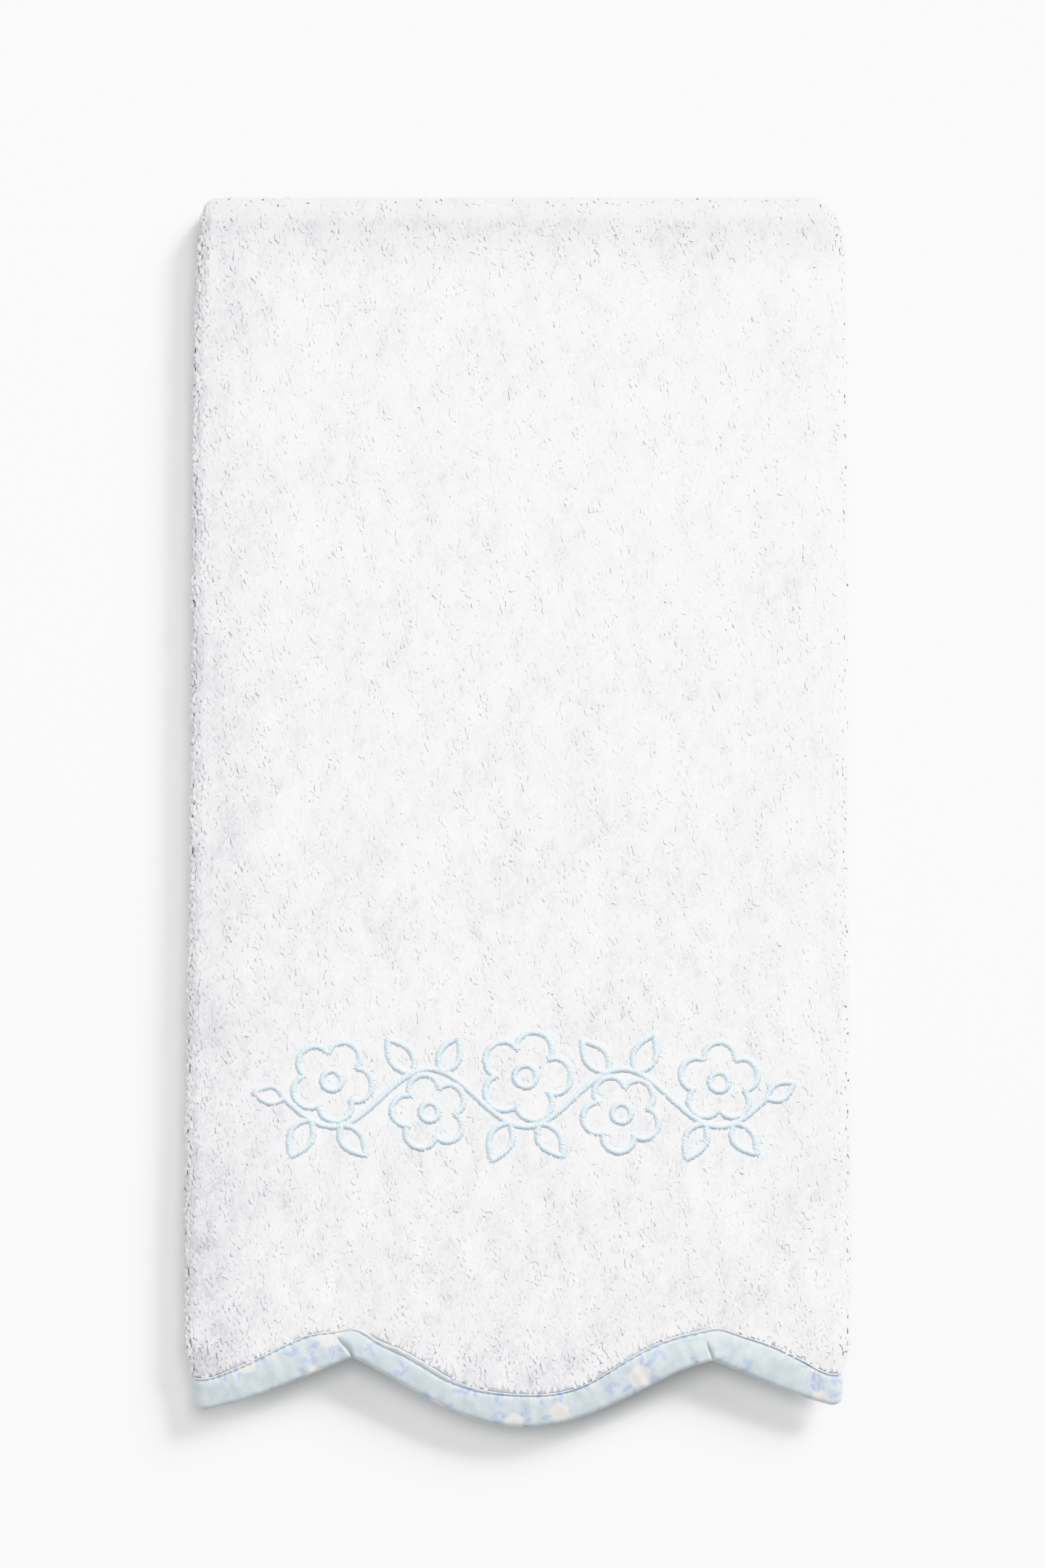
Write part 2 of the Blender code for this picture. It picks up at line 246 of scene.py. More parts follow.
# How wide the binding shows along the hem: distance across, width
BINDING_WIDTH = np.array([
    (-101.0, 10.0),
    (-62.0, 11.6),
    (-47.5, 9.0),
    (-39.0, 10.0),
    (-25.0, 9.3),
    (0.0, 10.6),
    (22.0, 9.5),
    (48.0, 11.6),
    (62.0, 10.4),
    (76.0, 11.3),
    (101.0, 10.0),
]) * MM

# Half the width at the hem, the turn and the turned-in side, in flat distances
HEM_HALF = OUTLINE[-1, 1] - SIDE_R - CLOTH / 2
TURN = math.pi * SIDE_R
FLAP = HEM_HALF - FLAP_END
CLOTH_HALF = HEM_HALF + TURN + FLAP


def ease(t):
    """Goes smoothly from 0 to 1 as t does."""
    t = np.clip(t, 0.0, 1.0)
    return t * t * (3 - 2 * t)


def mix(a, b, t):
    """Goes evenly from a to b as t goes from 0 to 1."""
    return a + (b - a) * t


def read_table(rows, at, column):
    """A table's column at values of its first column, eased from row to row."""
    at = np.clip(at, rows[0, 0], rows[-1, 0])
    lower = np.clip(np.searchsorted(rows[:, 0], at), 1, len(rows) - 1)
    start, end = rows[lower - 1], rows[lower]
    t = ease((at - start[..., 0]) / (end[..., 0] - start[..., 0]))
    return mix(start[..., column], end[..., column], t)


def panel_half(v, side):
    """Half the width between the side folds at v, measured along the outermost
    layer from the middle of the top fold and negative on the back."""
    below = np.abs(v) - QUARTER + HALF_STACK
    left, right = read_table(OUTLINE, below, 1), read_table(OUTLINE, below, 2)
    half = np.where(side < 0, left, right) - SIDE_R - CLOTH / 2
    back = ease(0.5 - v / (4 * HALF_STACK))
    turns = BACK_WAVES * 2 * math.pi * below / LENGTH
    waver = BACK_WAVER * np.sin(turns + np.where(side < 0, -1, 1))
    return half - back * (BACK_IN + waver)


def place(u, v, out):
    """Carries points of the flat cloth through both folds. u is across, -1 to 1
    on the middle panel, then one unit for each side fold and each turned-in side.
    v is along, and out is from the cloth's middle towards its outer face."""
    u, v, out = np.broadcast_arrays(*(np.asarray(a, float) for a in (u, v, out)))
    side, size = np.where(u < 0, -1.0, 1.0), np.abs(u)
    half = panel_half(v, side)
    angle = np.clip(size - 1, 0, 1) * math.pi
    reach = SIDE_R + out
    edge = mix(FLAP_TOP, FLAP_END, ease(np.abs(v) / LENGTH))
    x = np.where(size <= 1, size * half, half + reach * np.sin(angle))
    x = np.where(size > 2, mix(half, edge, size - 2), x) * side
    height = np.where(size <= 1, out, reach * np.cos(angle) - SIDE_R)
    height = np.where(size > 2, -2 * SIDE_R - out, height)

    turn = np.clip(v, -QUARTER, QUARTER) / TOP_R
    past = np.abs(v) - QUARTER
    y = FOLD_Y + (TOP_R + height) * np.cos(turn) - np.maximum(past, 0)
    z = HALF_STACK + (TOP_R + height) * np.sin(turn)

    rise = TOP_RISE * ease((y - FOLD_Y + TOP_RISE_REACH) / TOP_RISE_REACH)
    to_side = panel_half(LENGTH / 2 - y, x) + SIDE_R + CLOTH / 2 - np.abs(x)
    rise = rise - EDGE_DIP * (1 - ease(to_side / EDGE_DIP_REACH))
    for hollow_x, hollow_y, across, along, depth in HOLLOWS:
        rise -= depth * np.exp(-(((x - hollow_x) / across) ** 2) - ((y - hollow_y) / along) ** 2)
    z = z * (1 + rise / STACK)
    droop = DROOP * ease((-LENGTH / 2 + BACK_SHORT + BACK_SKEW - y) / DROOP_LENGTH)
    return np.stack([x, y, z - droop], axis=-1)


def unit_of_s(s):
    """The unit across of a flat distance across, at the hem."""
    side, size = np.where(s < 0, -1.0, 1.0), np.abs(s)
    turn = 1 + (size - HEM_HALF) / TURN
    flap = 2 + (size - HEM_HALF - TURN) / FLAP
    return side * np.where(size <= HEM_HALF, size / HEM_HALF, np.where(turn <= 2, turn, flap))


def s_of_unit(u, turn=TURN):
    """The flat distance across, at the hem, of a unit across, where each side fold
    takes up the length turn."""
    size = np.abs(u)
    past = HEM_HALF + np.clip(size - 1, 0, 1) * turn + np.maximum(size - 2, 0) * FLAP
    return np.where(size <= 1, u * HEM_HALF, np.sign(u) * past)


def scallop(x, behind):
    """How far below the top fold the scalloped edge lies at x."""
    x = np.asarray(x, float)
    row = (x >= SCALLOPS[0, 0]).astype(int) + (x >= SCALLOPS[1, 2]) + (x >= SCALLOPS[2, 0])
    notch_x, notch_below, crest_x, crest_below, point = np.moveaxis(SCALLOPS[row], -1, 0)
    t = np.minimum(np.abs((x - notch_x) / (crest_x - notch_x)), 1.0) ** CREST_BREADTH
    wave = (1 - np.cos(math.pi * t)) / 2
    wave = np.where(behind, wave, mix(wave, np.sin(math.pi * t / 2), point))
    return mix(notch_below, crest_below, wave)


def hem(s):
    """How far below the top fold the scalloped edge lies at s, a flat distance
    across from the middle."""
    side, size = np.where(s < 0, -1.0, 1.0), np.abs(s)
    turned = np.clip((size - HEM_HALF) / TURN, 0, 1)
    past = np.maximum(size - HEM_HALF - TURN, 0)
    x = np.where(size <= HEM_HALF, size, HEM_HALF + SIDE_R * np.sin(turned * math.pi))
    x = np.where(past > 0, HEM_HALF - past, x)
    inset = np.where(past > 0, mix(TURN_INSET, FLAP_INSET, ease(past / INSET_LENGTH)),
                     TURN_INSET * ease(turned))
    return scallop(side * x, past > INSET_LENGTH) - inset


def in_from_hem(s, inward):
    """Points inward of the edge at s, square to it, or straight up from it at the
    side folds and behind: their unit across, and v."""
    rise = hem(s + SLOPE_STEP) - hem(s - SLOPE_STEP)
    rise = rise * ease((HEM_HALF - np.abs(s)) / SQUARE_FROM)
    run = np.hypot(2 * SLOPE_STEP, rise)
    s_in = s + inward * rise / run
    return unit_of_s(s_in), hem(s) - inward * 2 * SLOPE_STEP / run - HALF_STACK + QUARTER


def plain_end(s):
    """v at the plain end of the cloth, where its turned hem stops."""
    return -(LENGTH - BACK_SHORT - HALF_STACK + QUARTER + BACK_SKEW * s / CLOTH_HALF)


GROUND_OUT = 1.5 * MM       # the ground's outer face, from the cloth's middle
GROUND_IN = 1.3 * MM        # its inner face, with the crushed pile between layers
GROUND_FOLD = 0.28 * MM     # it swells this much further out round the folds
BOUND = 0.7 * MM            # half the sheared cloth inside the binding
EDGE_IN = 1.4 * MM          # the cloth's own edge, from the binding's outer edge
EDGE_THIN = 0.4             # which is thinner than the cloth beside it by this factor
BANK = 0.35 * MM            # beside the binding the cloth is at its full height here
HEM_DIP = 0.96              # the plain hem is this much thinner in the middle
HEM_ROUND = 0.4             # and at its end
PILE_FULL = 2.5 * MM        # the pile is at its full height this far from the binding
PANEL_COLUMNS, TURN_COLUMNS, FLAP_COLUMNS = 40, 5, 10
FRONT_ROWS, TOP_ROWS, BACK_ROWS = 34, 10, 20

panel = np.linspace(-1, 1, PANEL_COLUMNS + 1)
turns = 1 + np.arange(1, TURN_COLUMNS + 1) / TURN_COLUMNS
flaps = 2 + np.arange(1, FLAP_COLUMNS + 1) / FLAP_COLUMNS
columns = np.concatenate([-flaps[::-1], -turns[::-1], panel, turns, flaps])

# The rows run from the scalloped end to the plain one. Each has its stretch, how
# far along that it lies, and the outer and inner face from the cloth's middle.
full = (GROUND_OUT, GROUND_IN)
hem_out = BACK_HEM_THICK / 2
ground_rows = [
    ("edge", EDGE_IN, BOUND * EDGE_THIN, BOUND * EDGE_THIN),
    ("edge", EDGE_IN + MM, BOUND, BOUND),
    ("edge", 5 * MM, BOUND, BOUND),
    ("bound", 0.0, BOUND, BOUND),
    ("bound", BANK, *full),
    *[("front", i / FRONT_ROWS, *full) for i in range(FRONT_ROWS)],
    *[("top", i / TOP_ROWS, *full) for i in range(TOP_ROWS)],
    *[("back", i / BACK_ROWS, *full) for i in range(BACK_ROWS + 1)],
    ("back hem", 0.05, hem_out, hem_out),
    ("back hem", 0.5, hem_out * HEM_DIP, hem_out * HEM_DIP),
    ("back hem", 0.93, hem_out, hem_out),
    ("back hem", 1.0, hem_out * HEM_ROUND, hem_out * HEM_ROUND),
]


def slab_mesh(name, columns, rows):
    """A slab of cloth as a new mesh. Each of its corners has its column's value, its
    row's values, and -1 on the inner face or 1 on the outer one."""
    bm = bmesh.new()
    across, along = len(columns) - 1, len(rows) - 1
    bmesh.ops.create_grid(bm, x_segments=across, y_segments=along, size=1.0)
    for vertex in bm.verts:
        x, y, _ = vertex.co
        vertex.co = (round((x + 1) / 2 * across), round((y + 1) / 2 * along), -1)
    made = bmesh.ops.extrude_face_region(bm, geom=bm.faces[:], use_keep_orig=True)
    for item in made["geom"]:
        if isinstance(item, bmesh.types.BMVert):
            item.co.z = 1
    bmesh.ops.recalc_face_normals(bm, faces=bm.faces)
    mesh = bpy.data.meshes.new(name)
    bm.to_mesh(mesh)
    bm.free()
    found = np.array([vertex.co for vertex in mesh.vertices])
    column, row, face = found.round().astype(int).T
    return mesh, columns[column], [np.array(values)[row] for values in zip(*rows)], face


def by_stretch(stretch, values):
    """For each corner the value of its own stretch."""
    return np.select([stretch == name for name in values], list(values.values()))


def finish_piece(mesh, name, material):
    """Makes the mesh an object of the towel, smooth, in its material."""
    mesh.shade_smooth()
    mesh.materials.append(material)
    piece = add_object(name, mesh)
    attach(piece, "root")
    return piece


def map_corners(mesh, name, across, along):
    """Writes a UV map from each vertex's place on the flat cloth."""
    layer = mesh.uv_layers.new(name=name)
    index = np.empty(len(mesh.loops), int)
    mesh.loops.foreach_get("vertex_index", index)
    values = np.stack([across[index], along[index]], axis=-1)
    layer.uv.foreach_set("vector", values.ravel().astype(np.float32))


made = slab_mesh("terry_ground", columns, ground_rows)
ground_mesh, u, (stretch, along, outer, inner), face = made
s = s_of_unit(u)
out = np.where(face > 0, outer, -inner)
swell = np.sin(math.pi * np.clip(np.abs(u) - 1, 0, 1))
swell = np.maximum(swell, np.where(stretch == "top", np.sin(math.pi * along), 0))
out = out + GROUND_FOLD * swell * (face > 0) * (out > BOUND)
width = read_table(BINDING_WIDTH, s, 1)
inward = np.where(stretch == "edge", along, width + np.where(stretch == "bound", along, PILE_FULL))
near_u, near_v = in_from_hem(s, inward)
end = plain_end(s)
v = by_stretch(stretch, {
    "edge": near_v,
    "bound": near_v,
    "front": mix(near_v, QUARTER, along),
    "top": mix(QUARTER, -QUARTER, along),
    "back": mix(-QUARTER, end + BACK_HEM, along),
    "back hem": mix(end + BACK_HEM, end, along),
})
at_hem = (stretch == "edge") | (stretch == "bound")
u = np.where(at_hem, near_u, np.where(stretch == "front", mix(near_u, u, along), u))
ground_mesh.vertices.foreach_set("co", place(u, v, out).ravel())
map_corners(ground_mesh, "cloth", s, v)

# Painted shade: the colour greys towards the folds, most of all the top one, and
# towards the left side, to stand for the shade that falls there. Each row: the axis,
# where the grey begins and where it is full, and how much of it there is.
FOLD_PAINTED_SHADE = (("Y", LENGTH / 2 - 32 * MM, LENGTH / 2 - 4 * MM, 1.0), ("X", -64 * MM, -103 * MM, 0.6))
# the grey of the painted shade at the folds
PAINTED_SHADE_GREY = (0.50, 0.50, 0.515, 1.0)
# The ground's tones: the level of its mottling, and the colour there
GROUND_TONES = ((0.0, (0.64, 0.64, 0.66)), (1.0, (0.72, 0.72, 0.74)))


def on_object(tree):
    """Each place on the object."""
    return add_node(tree, "TexCoord", {}).outputs["Object"]


def mottled(tree, at, scale, **more):
    """The level of an uneven mottling at each place."""
    return add_node(tree, "TexNoise", {"Vector": at, "Scale": scale, **more}).outputs["Fac"]


def toned(tree, level, tones):
    """The colour at a level, eased from tone to tone."""
    ramp = add_node(tree, "ValToRGB", {"Fac": level})
    stops = ramp.color_ramp.elements
    stops[0].position, stops[1].position = tones[0][0], tones[-1][0]
    for at, _ in tones[1:-1]:
        stops.new(at)
    for stop, (_, colour) in zip(stops, tones):
        stop.color = (*colour, 1.0)
    return ramp.outputs["Color"]


def painted(tree, under, colour, share):
    """The colour laid over another one, in this share."""
    layered = add_node(tree, "Mix", {}, data_type="RGBA")
    sockets = [socket for socket in layered.inputs if socket.enabled]
    for socket, value in zip(sockets, (share, under, colour)):
        feed(tree, socket, value)
    return next(socket for socket in layered.outputs if socket.enabled)


def with_painted_fold_shade(tree, colour):
    """The colour, greyed towards the folds with painted shade."""
    axes = add_node(tree, "SeparateXYZ", {"Vector": on_object(tree)})
    shares = {}
    for number, (axis, shade_begins, shade_full, most) in enumerate(FOLD_PAINTED_SHADE):
        span = {"Value": axes.outputs[axis], "From Min": shade_begins, "From Max": shade_full, "To Max": most}
        fade = add_node(tree, "MapRange", span, interpolation_type="SMOOTHERSTEP")
        shares[number] = fade.outputs["Result"]
    # painted shade: the grey is mixed into the colour in this share
    shade_share = add_node(tree, "Math", shares, operation="MAXIMUM")
    return painted(tree, colour, PAINTED_SHADE_GREY, shade_share.outputs[0])


def roughen(tree, shader, height, strength, depth):
    """Gives the shader a surface that stands out by up to this depth."""
    bump = add_node(tree, "Bump", {"Height": height, "Strength": strength, "Distance": depth})
    feed(tree, shader.inputs["Normal"], bump.outputs["Normal"])


terry_white, tree, shader = new_material("terry_ground", 0.95, 0.2, sheen=0.2, sheen_spread=0.6)
cloth_map = add_node(tree, "UVMap", {}, uv_map="cloth")
spots = mottled(tree, cloth_map.outputs[0], 900.0)
# the ground's colour carries painted shade at the top fold and the left side
colour = with_painted_fold_shade(tree, toned(tree, spots, GROUND_TONES))
feed(tree, shader.inputs["Base Color"], colour)
roughen(tree, shader, spots, 0.5, 0.4 * MM)

ground = finish_piece(ground_mesh, "terry_ground", terry_white)
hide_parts("towel_cloth")


# -------------------------------------------------------------- the embroidery
# A running vine with leaves and five-petalled flowers, worked by machine in pale
# blue rayon. Its lines are narrow satin stitch: slanted threads laid side by side
# across the line. They press the pile down and sink a little between the loops.

VINE_MIDDLE = -89.0         # mm, along the towel
VINE_ENDS = (-73.0, 78.0)   # mm, across it
VINE_SWAY = 9.0             # mm
VINE_WAVES = 2.5
SATIN_WIDTH = 2.15 * MM
THREAD_STEP = 0.42 * MM     # from one thread to the next
THREAD_HALF = 0.27 * MM     # half its thickness
THREAD_SLANT = 0.45         # along the line, for each bit across it
THREAD_LENGTHS = (0.86, 1.1)    # of the line's width, from the least to the most
THREAD_UNEVEN = 0.05 * MM   # how far one stands out more than the next
SATIN_OUT = 1.55 * MM       # its foot, from the cloth's middle
SATIN_RISE = 0.28 * MM      # the arch of its threads
BARE = 1.35 * MM            # no loops stand this near the middle of a line
PETALS = 5
PETAL_DEPTH = 0.38          # of a flower's size
PETAL_ROUND = 0.6           # under 1 the petals are broad and the notches narrow
HEART_SIZE = 0.24           # of a flower's size
FLOWER_GAP = 1.6            # mm, between a flower and the vine
LEAF_BELLY = 0.27           # half a leaf's breadth, for its length
LEAF_FULL = 0.85            # under 1 it is broadest nearer its foot
LEAF_CURVE = 0.08           # how far its tip bends aside, for its length

# The flowers: place across, above (1) or below (-1) the vine's middle, size, turn
# in degrees; and the leaves: place across, length, and lean in degrees
VINE_FLOWERS = [
    (-58.0, 1, 12.8, 10.0),
    (-27.5, -1, 11.8, 40.0),
    (2.5, 1, 14.2, 0.0),
    (32.5, -1, 12.2, 25.0),
    (63.0, 1, 12.4, 55.0),
]
VINE_LEAVES = [
    (-73.0, 9.5, 165.0),
    (-64.5, 13.0, 236.0),
    (-55.0, 12.0, 304.0),
    (-33.0, 13.0, 121.0),
    (-24.0, 12.0, 58.0),
    (-2.5, 13.0, 240.0),
    (7.0, 12.5, 300.0),
    (28.0, 12.5, 124.0),
    (37.0, 13.0, 60.0),
    (58.5, 12.5, 238.0),
    (67.5, 12.0, 302.0),
    (78.0, 9.5, 25.0),
]


def vine_at(x):
    """The vine's height at a place across, in mm from its middle."""
    share = (x - VINE_ENDS[0]) / (VINE_ENDS[1] - VINE_ENDS[0])
    return -VINE_SWAY * np.sin(share * VINE_WAVES * 2 * math.pi)


def flower_lines(x, side, size, turn):
    """The outline of a flower with five rounded petals, and its round heart."""
    round_it = np.linspace(0, 2 * math.pi, 161)
    petals = np.abs(np.cos(PETALS / 2 * (round_it + math.radians(turn)))) ** PETAL_ROUND
    reach = size * (1 - PETAL_DEPTH + PETAL_DEPTH * petals)
    middle = np.array([x, vine_at(x) + side * (size + FLOWER_GAP)])
    ring = np.stack([np.cos(round_it), np.sin(round_it)], axis=-1)
    return [middle + reach[:, None] * ring, middle + HEART_SIZE * size * ring[::5]]


def leaf_lines(x, length, lean):
    """The outline of a pointed leaf that grows from the vine."""
    t = np.linspace(0, 1, 33)[:, None]
    cos, sin = math.cos(math.radians(lean)), math.sin(math.radians(lean))
    go, wide = np.array([cos, sin]), np.array([-sin, cos])
    rib = np.array([x, vine_at(x)]) + length * (t * go + LEAF_CURVE * t * t * wide)
    belly = LEAF_BELLY * length * np.sin(math.pi * t ** LEAF_FULL) * wide
    return [np.concatenate([rib + belly, (rib - belly)[::-1][1:]])]


stem_x = np.linspace(*VINE_ENDS, 240)
vine_lines = [np.stack([stem_x, vine_at(stem_x)], axis=-1)]
for row in VINE_FLOWERS:
    vine_lines += flower_lines(*row)
for row in VINE_LEAVES:
    vine_lines += leaf_lines(*row)


def directions(rows):
    """Each row, brought to length 1."""
    return rows / np.linalg.norm(rows, axis=1, keepdims=True)


def even_steps(line, step):
    """Points one step apart along a line, and the direction there."""
    length = np.concatenate([[0], np.cumsum(np.linalg.norm(np.diff(line, axis=0), axis=1))])
    at = np.arange(step / 2, length[-1], step)
    points, ahead, behind = [
        np.stack([np.interp(at + move, length, line[:, i]) for i in range(2)], axis=-1)
        for move in (0, step, -step)
    ]
    return points, directions(ahead - behind)


steps = [even_steps(line, THREAD_STEP / MM) for line in vine_lines]
thread_at = np.concatenate([points for points, _ in steps]) * MM
thread_at[:, 1] += VINE_MIDDLE * MM
thread_way = np.concatenate([way for _, way in steps])
thread_count = len(thread_at)


def on_panel(x, y):
    """The unit across and v of a place on the towel's upper face."""
    v = LENGTH / 2 - y - HALF_STACK + QUARTER
    return x / panel_half(v, np.where(x < 0, -1.0, 1.0)), v


def small_form(bm):
    """A small form's corners, one row each, and its faces."""
    bm.verts.index_update()
    corners = np.array([vertex.co for vertex in bm.verts])
    faces = [[vertex.index for vertex in face.verts] for face in bm.faces]
    bm.free()
    return corners, faces


# One thread: a four-sided rod with its ends drawn down into the cloth
bm = bmesh.new()
bmesh.ops.create_cone(bm, cap_ends=True, segments=4, radius1=1, radius2=1, depth=2)
bmesh.ops.bisect_plane(bm, geom=bm.verts[:] + bm.edges[:] + bm.faces[:], plane_no=(0, 0, 1))
thread_form, thread_faces = small_form(bm)


def joined_copies(name, faces, corner_count, corners):
    """One mesh of many copies of a small form, whose corners are given."""
    mesh = bpy.data.meshes.new(name)
    copies = len(corners) // corner_count
    sizes = np.tile([len(face) for face in faces], copies)
    flat = np.concatenate(faces)
    index = (flat[None] + corner_count * np.arange(copies)[:, None]).ravel()
    mesh.vertices.add(len(corners))
    mesh.vertices.foreach_set("co", corners.ravel())
    mesh.loops.add(len(index))
    mesh.loops.foreach_set("vertex_index", index)
    mesh.polygons.add(len(sizes))
    mesh.polygons.foreach_set("loop_start", np.concatenate([[0], np.cumsum(sizes)[:-1]]))
    mesh.update(calc_edges=True)
    return mesh


draw = np.random.default_rng(7)
half_width = SATIN_WIDTH / 2 * draw.uniform(*THREAD_LENGTHS, thread_count)[:, None]
go = thread_form[None, :, 2] * half_width
along_line = thread_form[None, :, 0] * THREAD_HALF + go * THREAD_SLANT
arch = 1 - thread_form[None, :, 2] ** 2
side_way = np.stack([-thread_way[:, 1], thread_way[:, 0]], axis=-1)
x = thread_at[:, :1] + along_line * thread_way[:, :1] + go * side_way[:, :1]
y = thread_at[:, 1:] + along_line * thread_way[:, 1:] + go * side_way[:, 1:]
out = SATIN_OUT + SATIN_RISE * arch + thread_form[None, :, 1] * THREAD_HALF
out = out + draw.normal(0, THREAD_UNEVEN, thread_count)[:, None]
satin_mesh = joined_copies("satin_threads", thread_faces, len(thread_form),
                           place(*on_panel(x, y), out).reshape(-1, 3))

RAYON_TONES = ((0.3, (0.50, 0.595, 0.665)), (0.7, (0.64, 0.725, 0.79)))
rayon_blue, tree, shader = new_material("embroidery_thread", 0.5, 0.5, sheen=0.1)
strands = mottled(tree, on_object(tree), 1500.0, Detail=1.0)
feed(tree, shader.inputs["Base Color"], toned(tree, strands, RAYON_TONES))
roughen(tree, shader, strands, 0.3, 0.05 * MM)

embroidery = finish_piece(satin_mesh, "embroidered_vine", rayon_blue)


# ------------------------------------------------------------------- the pile
# Loops of soft white cotton yarn, standing close together in the columns of the
# weave. Each is a short arch that grows from the ground and leans along the
# towel. They lie at random a little, as washed loops do.

PILE_OUT = 1.2 * MM         # the level at which the loops' spacing is true
TOP_OUT = PILE_OUT + TOP_R
SIDE_OUT = PILE_OUT + SIDE_R
SIDE_TURN = math.pi * SIDE_OUT
COLUMN = 1.77 * MM / 2      # from one column of loops to the next
IN_COLUMN = 1.98 * MM       # from one loop to the next in a column
STRAY = (0.22 * MM, 0.35 * MM)  # how far they stand from there, across and along
PAST_ENDS = 12 * MM         # the columns run on this far, to be cut off at the hems
LOOPS_FROM = 0.35 * MM      # no loop stands nearer the binding
PLAIN_FROM = 0.3 * MM       # nor this near the plain hem
BORDER_REACH = 40 * MM      # how far the vine's flowers may reach from its middle
BACK_SHARE = 0.5            # of the loops are made where the towel lies on them
FOOT = 1.42 * MM            # where a loop starts, from the cloth's middle
CREST = 1.76 * MM           # the middle of the yarn at the top of a loop
HALF_LENGTH = (1.2 * MM, 1.7 * MM)  # of a loop, from the least to the most
YARN_HALF = (0.48 * MM, 0.64 * MM)  # half its breadth, likewise
WILD = 0.16                 # this share of the loops lie any way
HEADING_SPREAD = 0.28       # and the others lie along the towel, give or take this
UNDER_LONGER, UNDER_FULLER = 1.15, 1.3  # the loops there, for those on top
# Loops are shorter near the vine and the binding: by what factor, and within what
SHORT_AT_VINE, SHORT_AT_BINDING = (0.7, 1.5 * MM), (0.5, 1.8 * MM)
# How the loops lean and how tall they are: the patches' size, how much they differ
# from patch to patch, and from loop to loop
LEAN_ACROSS = (11 * MM, 0.3 * MM, 0.16 * MM)
LEAN_ALONG = (14 * MM, 0.3 * MM, 0.25 * MM)
HEIGHTS = (7 * MM, 0.12 * MM, 0.07 * MM)
END_TILT = 0.12             # how far one end stands up more than the other
BINDING_CREST = FOOT + 0.26 * MM    # the height beside the binding
BINDING_BANK = 0.35         # how far up from there to CREST they are at once
VINE_DIP = 0.2 * MM         # they are pressed down this much beside the vine
SOFTNESS = 0.95             # how far the fuzzy yarn takes light as the whole face does
FOLD_SOFTNESS = 0.9         # and at the folds, where the loops stand apart
FOLD_LIFT = 2.4             # how far the light falls through them there, as from above
FOLD_SLOPE = 0.7            # a face that slopes more than this is all fold
FOLD_FULLER = 0.4           # the loops spread by this share there
FOLD_RISE = 0.42 * MM       # they stand out this much further there
FOLD_UNEVEN = 0.12 * MM     # give or take this
# How the pile lies, from one patch to the next. Each row: the patches' size, and
# how far it tips there. The patches are longer along the towel.
NAP = ((1.6 * MM, 0.06), (3.5 * MM, 0.06), (9.0 * MM, 0.06), (22.0 * MM, 0.05))
NAP_DRAWN = 0.6
TABLE_CLEAR = 0.02 * MM     # no loop reaches nearer the table
# The pile on top is cut here, in mm below the top fold, to keep its pieces light
CUT_PIECES = ((-1.0, 118.0), (118.0, 236.0), (236.0, 400.0))


def on_cloth(a, b):
    """The unit across and v at distances across and along the pile's level,
    from the middle of the top fold."""
    quarter_out = math.pi / 2 * TOP_OUT
    flat = QUARTER + np.abs(b) - quarter_out
    v = np.sign(b) * np.where(np.abs(b) <= quarter_out, np.abs(b) * TOP_R / TOP_OUT, flat)
    side, size = np.where(a < 0, -1.0, 1.0), np.abs(a)
    half = panel_half(v, side)
    past = np.maximum(size - half, 0) / SIDE_TURN
    flap = 2 + (size - half - SIDE_TURN) / (half - FLAP_END)
    u = side * np.where(size <= half, size / half, np.where(past <= 1, 1 + past, flap))
    return u, v


def binding_edge():
    """The line in which the binding's upper edge lies on the cloth: s and v."""
    s = np.linspace(-HEM_HALF - TURN, HEM_HALF + TURN, 800)
    u, v = in_from_hem(s, read_table(BINDING_WIDTH, s, 1))
    flat_s = s_of_unit(u, SIDE_TURN)
    order = np.argsort(flat_s)
    return flat_s[order], v[order]


random = np.random.default_rng(16)
reach_a = OUTLINE[:, 1:].max() + SIDE_TURN - SIDE_R - CLOTH / 2
reach_b = LENGTH + PAST_ENDS
column_at = np.arange(-reach_a, reach_a, COLUMN)
loop_at = np.arange(-reach_b, reach_b, IN_COLUMN)
a, b = np.meshgrid(column_at, loop_at, indexing="ij")
b = b + (np.arange(len(column_at)) % 2)[:, None] * IN_COLUMN / 2
a = (a + random.normal(0, STRAY[0], a.shape)).ravel()
b = (b + random.normal(0, STRAY[1], b.shape)).ravel()

unit, v = on_cloth(a, b)
edge_s, edge_v = binding_edge()
near_binding = np.interp(a, edge_s, edge_v) - v
near_back_hem = v - plain_end(a) - BACK_HEM
kept = (np.abs(unit) < 2) & (near_binding > LOOPS_FROM) & (near_back_hem > PLAIN_FROM)
vine_points = KDTree(len(thread_at))
for number, (x, y) in enumerate(thread_at):
    vine_points.insert((x, y, 0.0), number)
vine_points.balance()
loop_x, loop_y = np.moveaxis(place(unit, v, PILE_OUT)[:, :2], -1, 0)
near_vine = np.full(len(a), 1.0)
on_border = (v > 0) & (np.abs(unit) < 1) & (np.abs(loop_y - VINE_MIDDLE * MM) < BORDER_REACH)
for number in np.flatnonzero(on_border):
    near_vine[number] = vine_points.find((loop_x[number], loop_y[number], 0.0))[2]
kept &= near_vine > BARE
under = b < -QUARTER
kept &= ~under | (random.random(len(a)) < BACK_SHARE)
a, b, near, under = a[kept], b[kept], near_binding[kept], under[kept]
near_vine = near_vine[kept]
count = len(a)


def waves(x, y, scale, seed, count=9):
    """A smooth random field, about -1 to 1, with features of this size."""
    draw = np.random.default_rng(seed)
    field = np.zeros(np.shape(x))
    for _ in range(count):
        angle, phase = draw.uniform(0, 2 * math.pi, 2)
        size = 2 * math.pi / (scale * draw.uniform(0.7, 1.7))
        field += np.sin((x * math.cos(angle) + y * math.sin(angle)) * size + phase)
    return field / math.sqrt(count)


def varied(seed, patch, by_patch, by_loop):
    """A length for each loop, that differs from patch to patch and loop to loop."""
    return by_patch * waves(a, b, patch, seed) + random.normal(0, by_loop, count)


